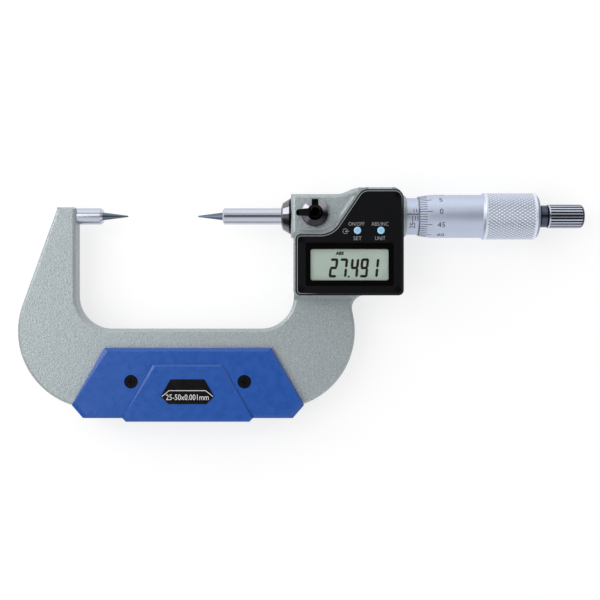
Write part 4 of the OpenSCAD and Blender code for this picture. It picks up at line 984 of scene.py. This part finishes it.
class MICROMETER_OT_stage(bpy.types.Operator):
    """Set up the table, the lamps and the camera"""

    bl_idname = "micrometer.stage"
    bl_label = "Stage"

    def execute(self, context):
        stage = context.scene.micrometer_stage

        # The table glows for the camera and for mirrors only, and its paper takes the shadow
        paper_grey, glow_power, table_size, table_drop = 0.36, 0.7, 6, 0.00005
        material = empty("white_table")
        tree = material.node_tree
        rays = add(tree, "ShaderNodeLightPath").outputs
        seen = add(tree, "ShaderNodeMath", {0: rays["Is Camera Ray"], 1: rays["Is Glossy Ray"]},
                   operation="MAXIMUM")
        seen = add(tree, "ShaderNodeMath", {0: seen, 1: rays["Is Transmission Ray"]}, operation="MAXIMUM")
        paper = add(tree, "ShaderNodeBsdfDiffuse", {"Color": (paper_grey, paper_grey, paper_grey, 1)})
        power = add(tree, "ShaderNodeMath", {0: seen, 1: glow_power}, operation="MULTIPLY")
        glow = add(tree, "ShaderNodeEmission", {"Color": (1, 1, 1, 1), "Strength": power})
        both = add(tree, "ShaderNodeAddShader", {0: paper, 1: glow})
        add(tree, "ShaderNodeOutputMaterial", {"Surface": both})
        selected_none()
        bpy.ops.mesh.primitive_plane_add(size=table_size, location=(0, 0, -table_drop))
        table = bpy.context.object
        table.name = "table"
        table.data.materials.append(material)

        # Soft boxes all round, and a plain white sky for the camera
        world = bpy.data.worlds.new("studio")
        context.scene.world = world
        world.use_nodes = True
        tree = world.node_tree
        tree.nodes.clear()
        way = add(tree, "ShaderNodeTexCoord").outputs["Generated"]
        side = add(tree, "ShaderNodeSeparateXYZ", {0: way}).outputs
        tilt = add(tree, "ShaderNodeMath", {0: side["Y"], 1: side["Z"]}, operation="ARCTAN2")
        share = add(tree, "ShaderNodeMapRange", {
            "Value": tilt, "From Min": -math.pi / 2, "From Max": math.pi / 2})
        boxes = add(tree, "ShaderNodeValToRGB", {"Fac": share})
        steps = boxes.color_ramp.elements
        for degrees, value in SOFT_BOXES:
            step = steps.new((degrees + 90) / 180)
            step.color = (value, value, value, 1)
        steps.remove(steps[0])
        steps.remove(steps[-1])
        dome = add(tree, "ShaderNodeMath", {0: boxes, 1: stage.room_level}, operation="MULTIPLY")

        # A black flag low on the left, on the near side, which the collar's cone mirrors; its edges are soft
        (clear_x, black_x), (clear_y, black_y), flag_level = (-0.58, -0.72), (0.2, 0.1), 0.08
        left = add(tree, "ShaderNodeMapRange", {
            "Value": side["X"], "From Min": clear_x, "From Max": black_x})
        near = add(tree, "ShaderNodeMapRange", {
            "Value": side["Y"], "From Min": clear_y, "From Max": black_y})
        flag = add(tree, "ShaderNodeMath", {0: left, 1: near}, operation="MULTIPLY")
        passed = add(tree, "ShaderNodeMapRange", {"Value": flag, "To Min": 1.0, "To Max": flag_level})
        dome = add(tree, "ShaderNodeMath", {0: dome, 1: passed}, operation="MULTIPLY")
        camera_ray = add(tree, "ShaderNodeLightPath").outputs["Is Camera Ray"]
        level = add(tree, "ShaderNodeMapRange", {"Value": camera_ray, "To Min": dome, "To Max": 1.0})
        sky = add(tree, "ShaderNodeBackground", {"Color": (1, 1, 1, 1), "Strength": level})
        add(tree, "ShaderNodeOutputWorld", {"Surface": sky})

        for name, place, size, power, roll in LAMPS:
            selected_none()
            bpy.ops.object.light_add(type="AREA", location=place)
            lamp = bpy.context.object
            lamp.name = name
            lamp.data.shape = "RECTANGLE"
            lamp.data.size, lamp.data.size_y = size
            lamp.data.energy = stage.key_power * power
            aim = (LAMP_AIM - Vector(place)).to_track_quat("-Z", "Y").to_matrix()
            lamp.rotation_euler = (aim @ Matrix.Rotation(math.radians(roll), 3, "Z")).to_euler()

        # The lens is worked out for a square picture
        selected_none()
        bpy.ops.object.camera_add(location=at(CAMERA_X, CAMERA_Y, stage.camera_height / MM))
        camera = bpy.context.object
        camera.rotation_euler = (0, 0, 0)
        camera.data.lens = camera.data.sensor_width * stage.camera_height / stage.view_width
        camera.data.clip_start = 0.01
        context.scene.camera = camera
        context.scene.view_settings.view_transform = "Standard"
        return {"FINISHED"}


class MICROMETER_PT_pieces(bpy.types.Panel):
    """Shows the micrometer's settings and a button for each of its steps"""

    bl_idname = "MICROMETER_PT_pieces"
    bl_label = "Micrometer"
    bl_space_type = "VIEW_3D"
    bl_region_type = "UI"
    bl_category = "Micrometer"

    def draw(self, context):
        for group in (context.scene.micrometer_sizes, context.scene.micrometer_colours,
                      context.scene.micrometer_stage):
            box = self.layout.box()
            for name in group.__annotations__:
                box.prop(group, name)
        for operator in OPERATORS:
            self.layout.operator(operator.bl_idname)


OPERATORS = (MICROMETER_OT_stage, MICROMETER_OT_finishes, MICROMETER_OT_thimble, MICROMETER_OT_scales,
             MICROMETER_OT_display, MICROMETER_OT_rim, MICROMETER_OT_labels, MICROMETER_OT_badge_print)
GROUPS = (MicrometerSizes, MicrometerColours, MicrometerStage)


def register():
    for group in GROUPS + OPERATORS + (MICROMETER_PT_pieces,):
        bpy.utils.register_class(group)
    bpy.types.Scene.micrometer_sizes = bpy.props.PointerProperty(type=MicrometerSizes)
    bpy.types.Scene.micrometer_colours = bpy.props.PointerProperty(type=MicrometerColours)
    bpy.types.Scene.micrometer_stage = bpy.props.PointerProperty(type=MicrometerStage)


def unregister():
    del bpy.types.Scene.micrometer_stage
    del bpy.types.Scene.micrometer_colours
    del bpy.types.Scene.micrometer_sizes
    for group in reversed(GROUPS + OPERATORS + (MICROMETER_PT_pieces,)):
        bpy.utils.unregister_class(group)


def main():
    register()
    for operator in OPERATORS:
        family, name = operator.bl_idname.split(".")
        getattr(getattr(bpy.ops, family), name)()


if __name__ == "__main__":
    main()
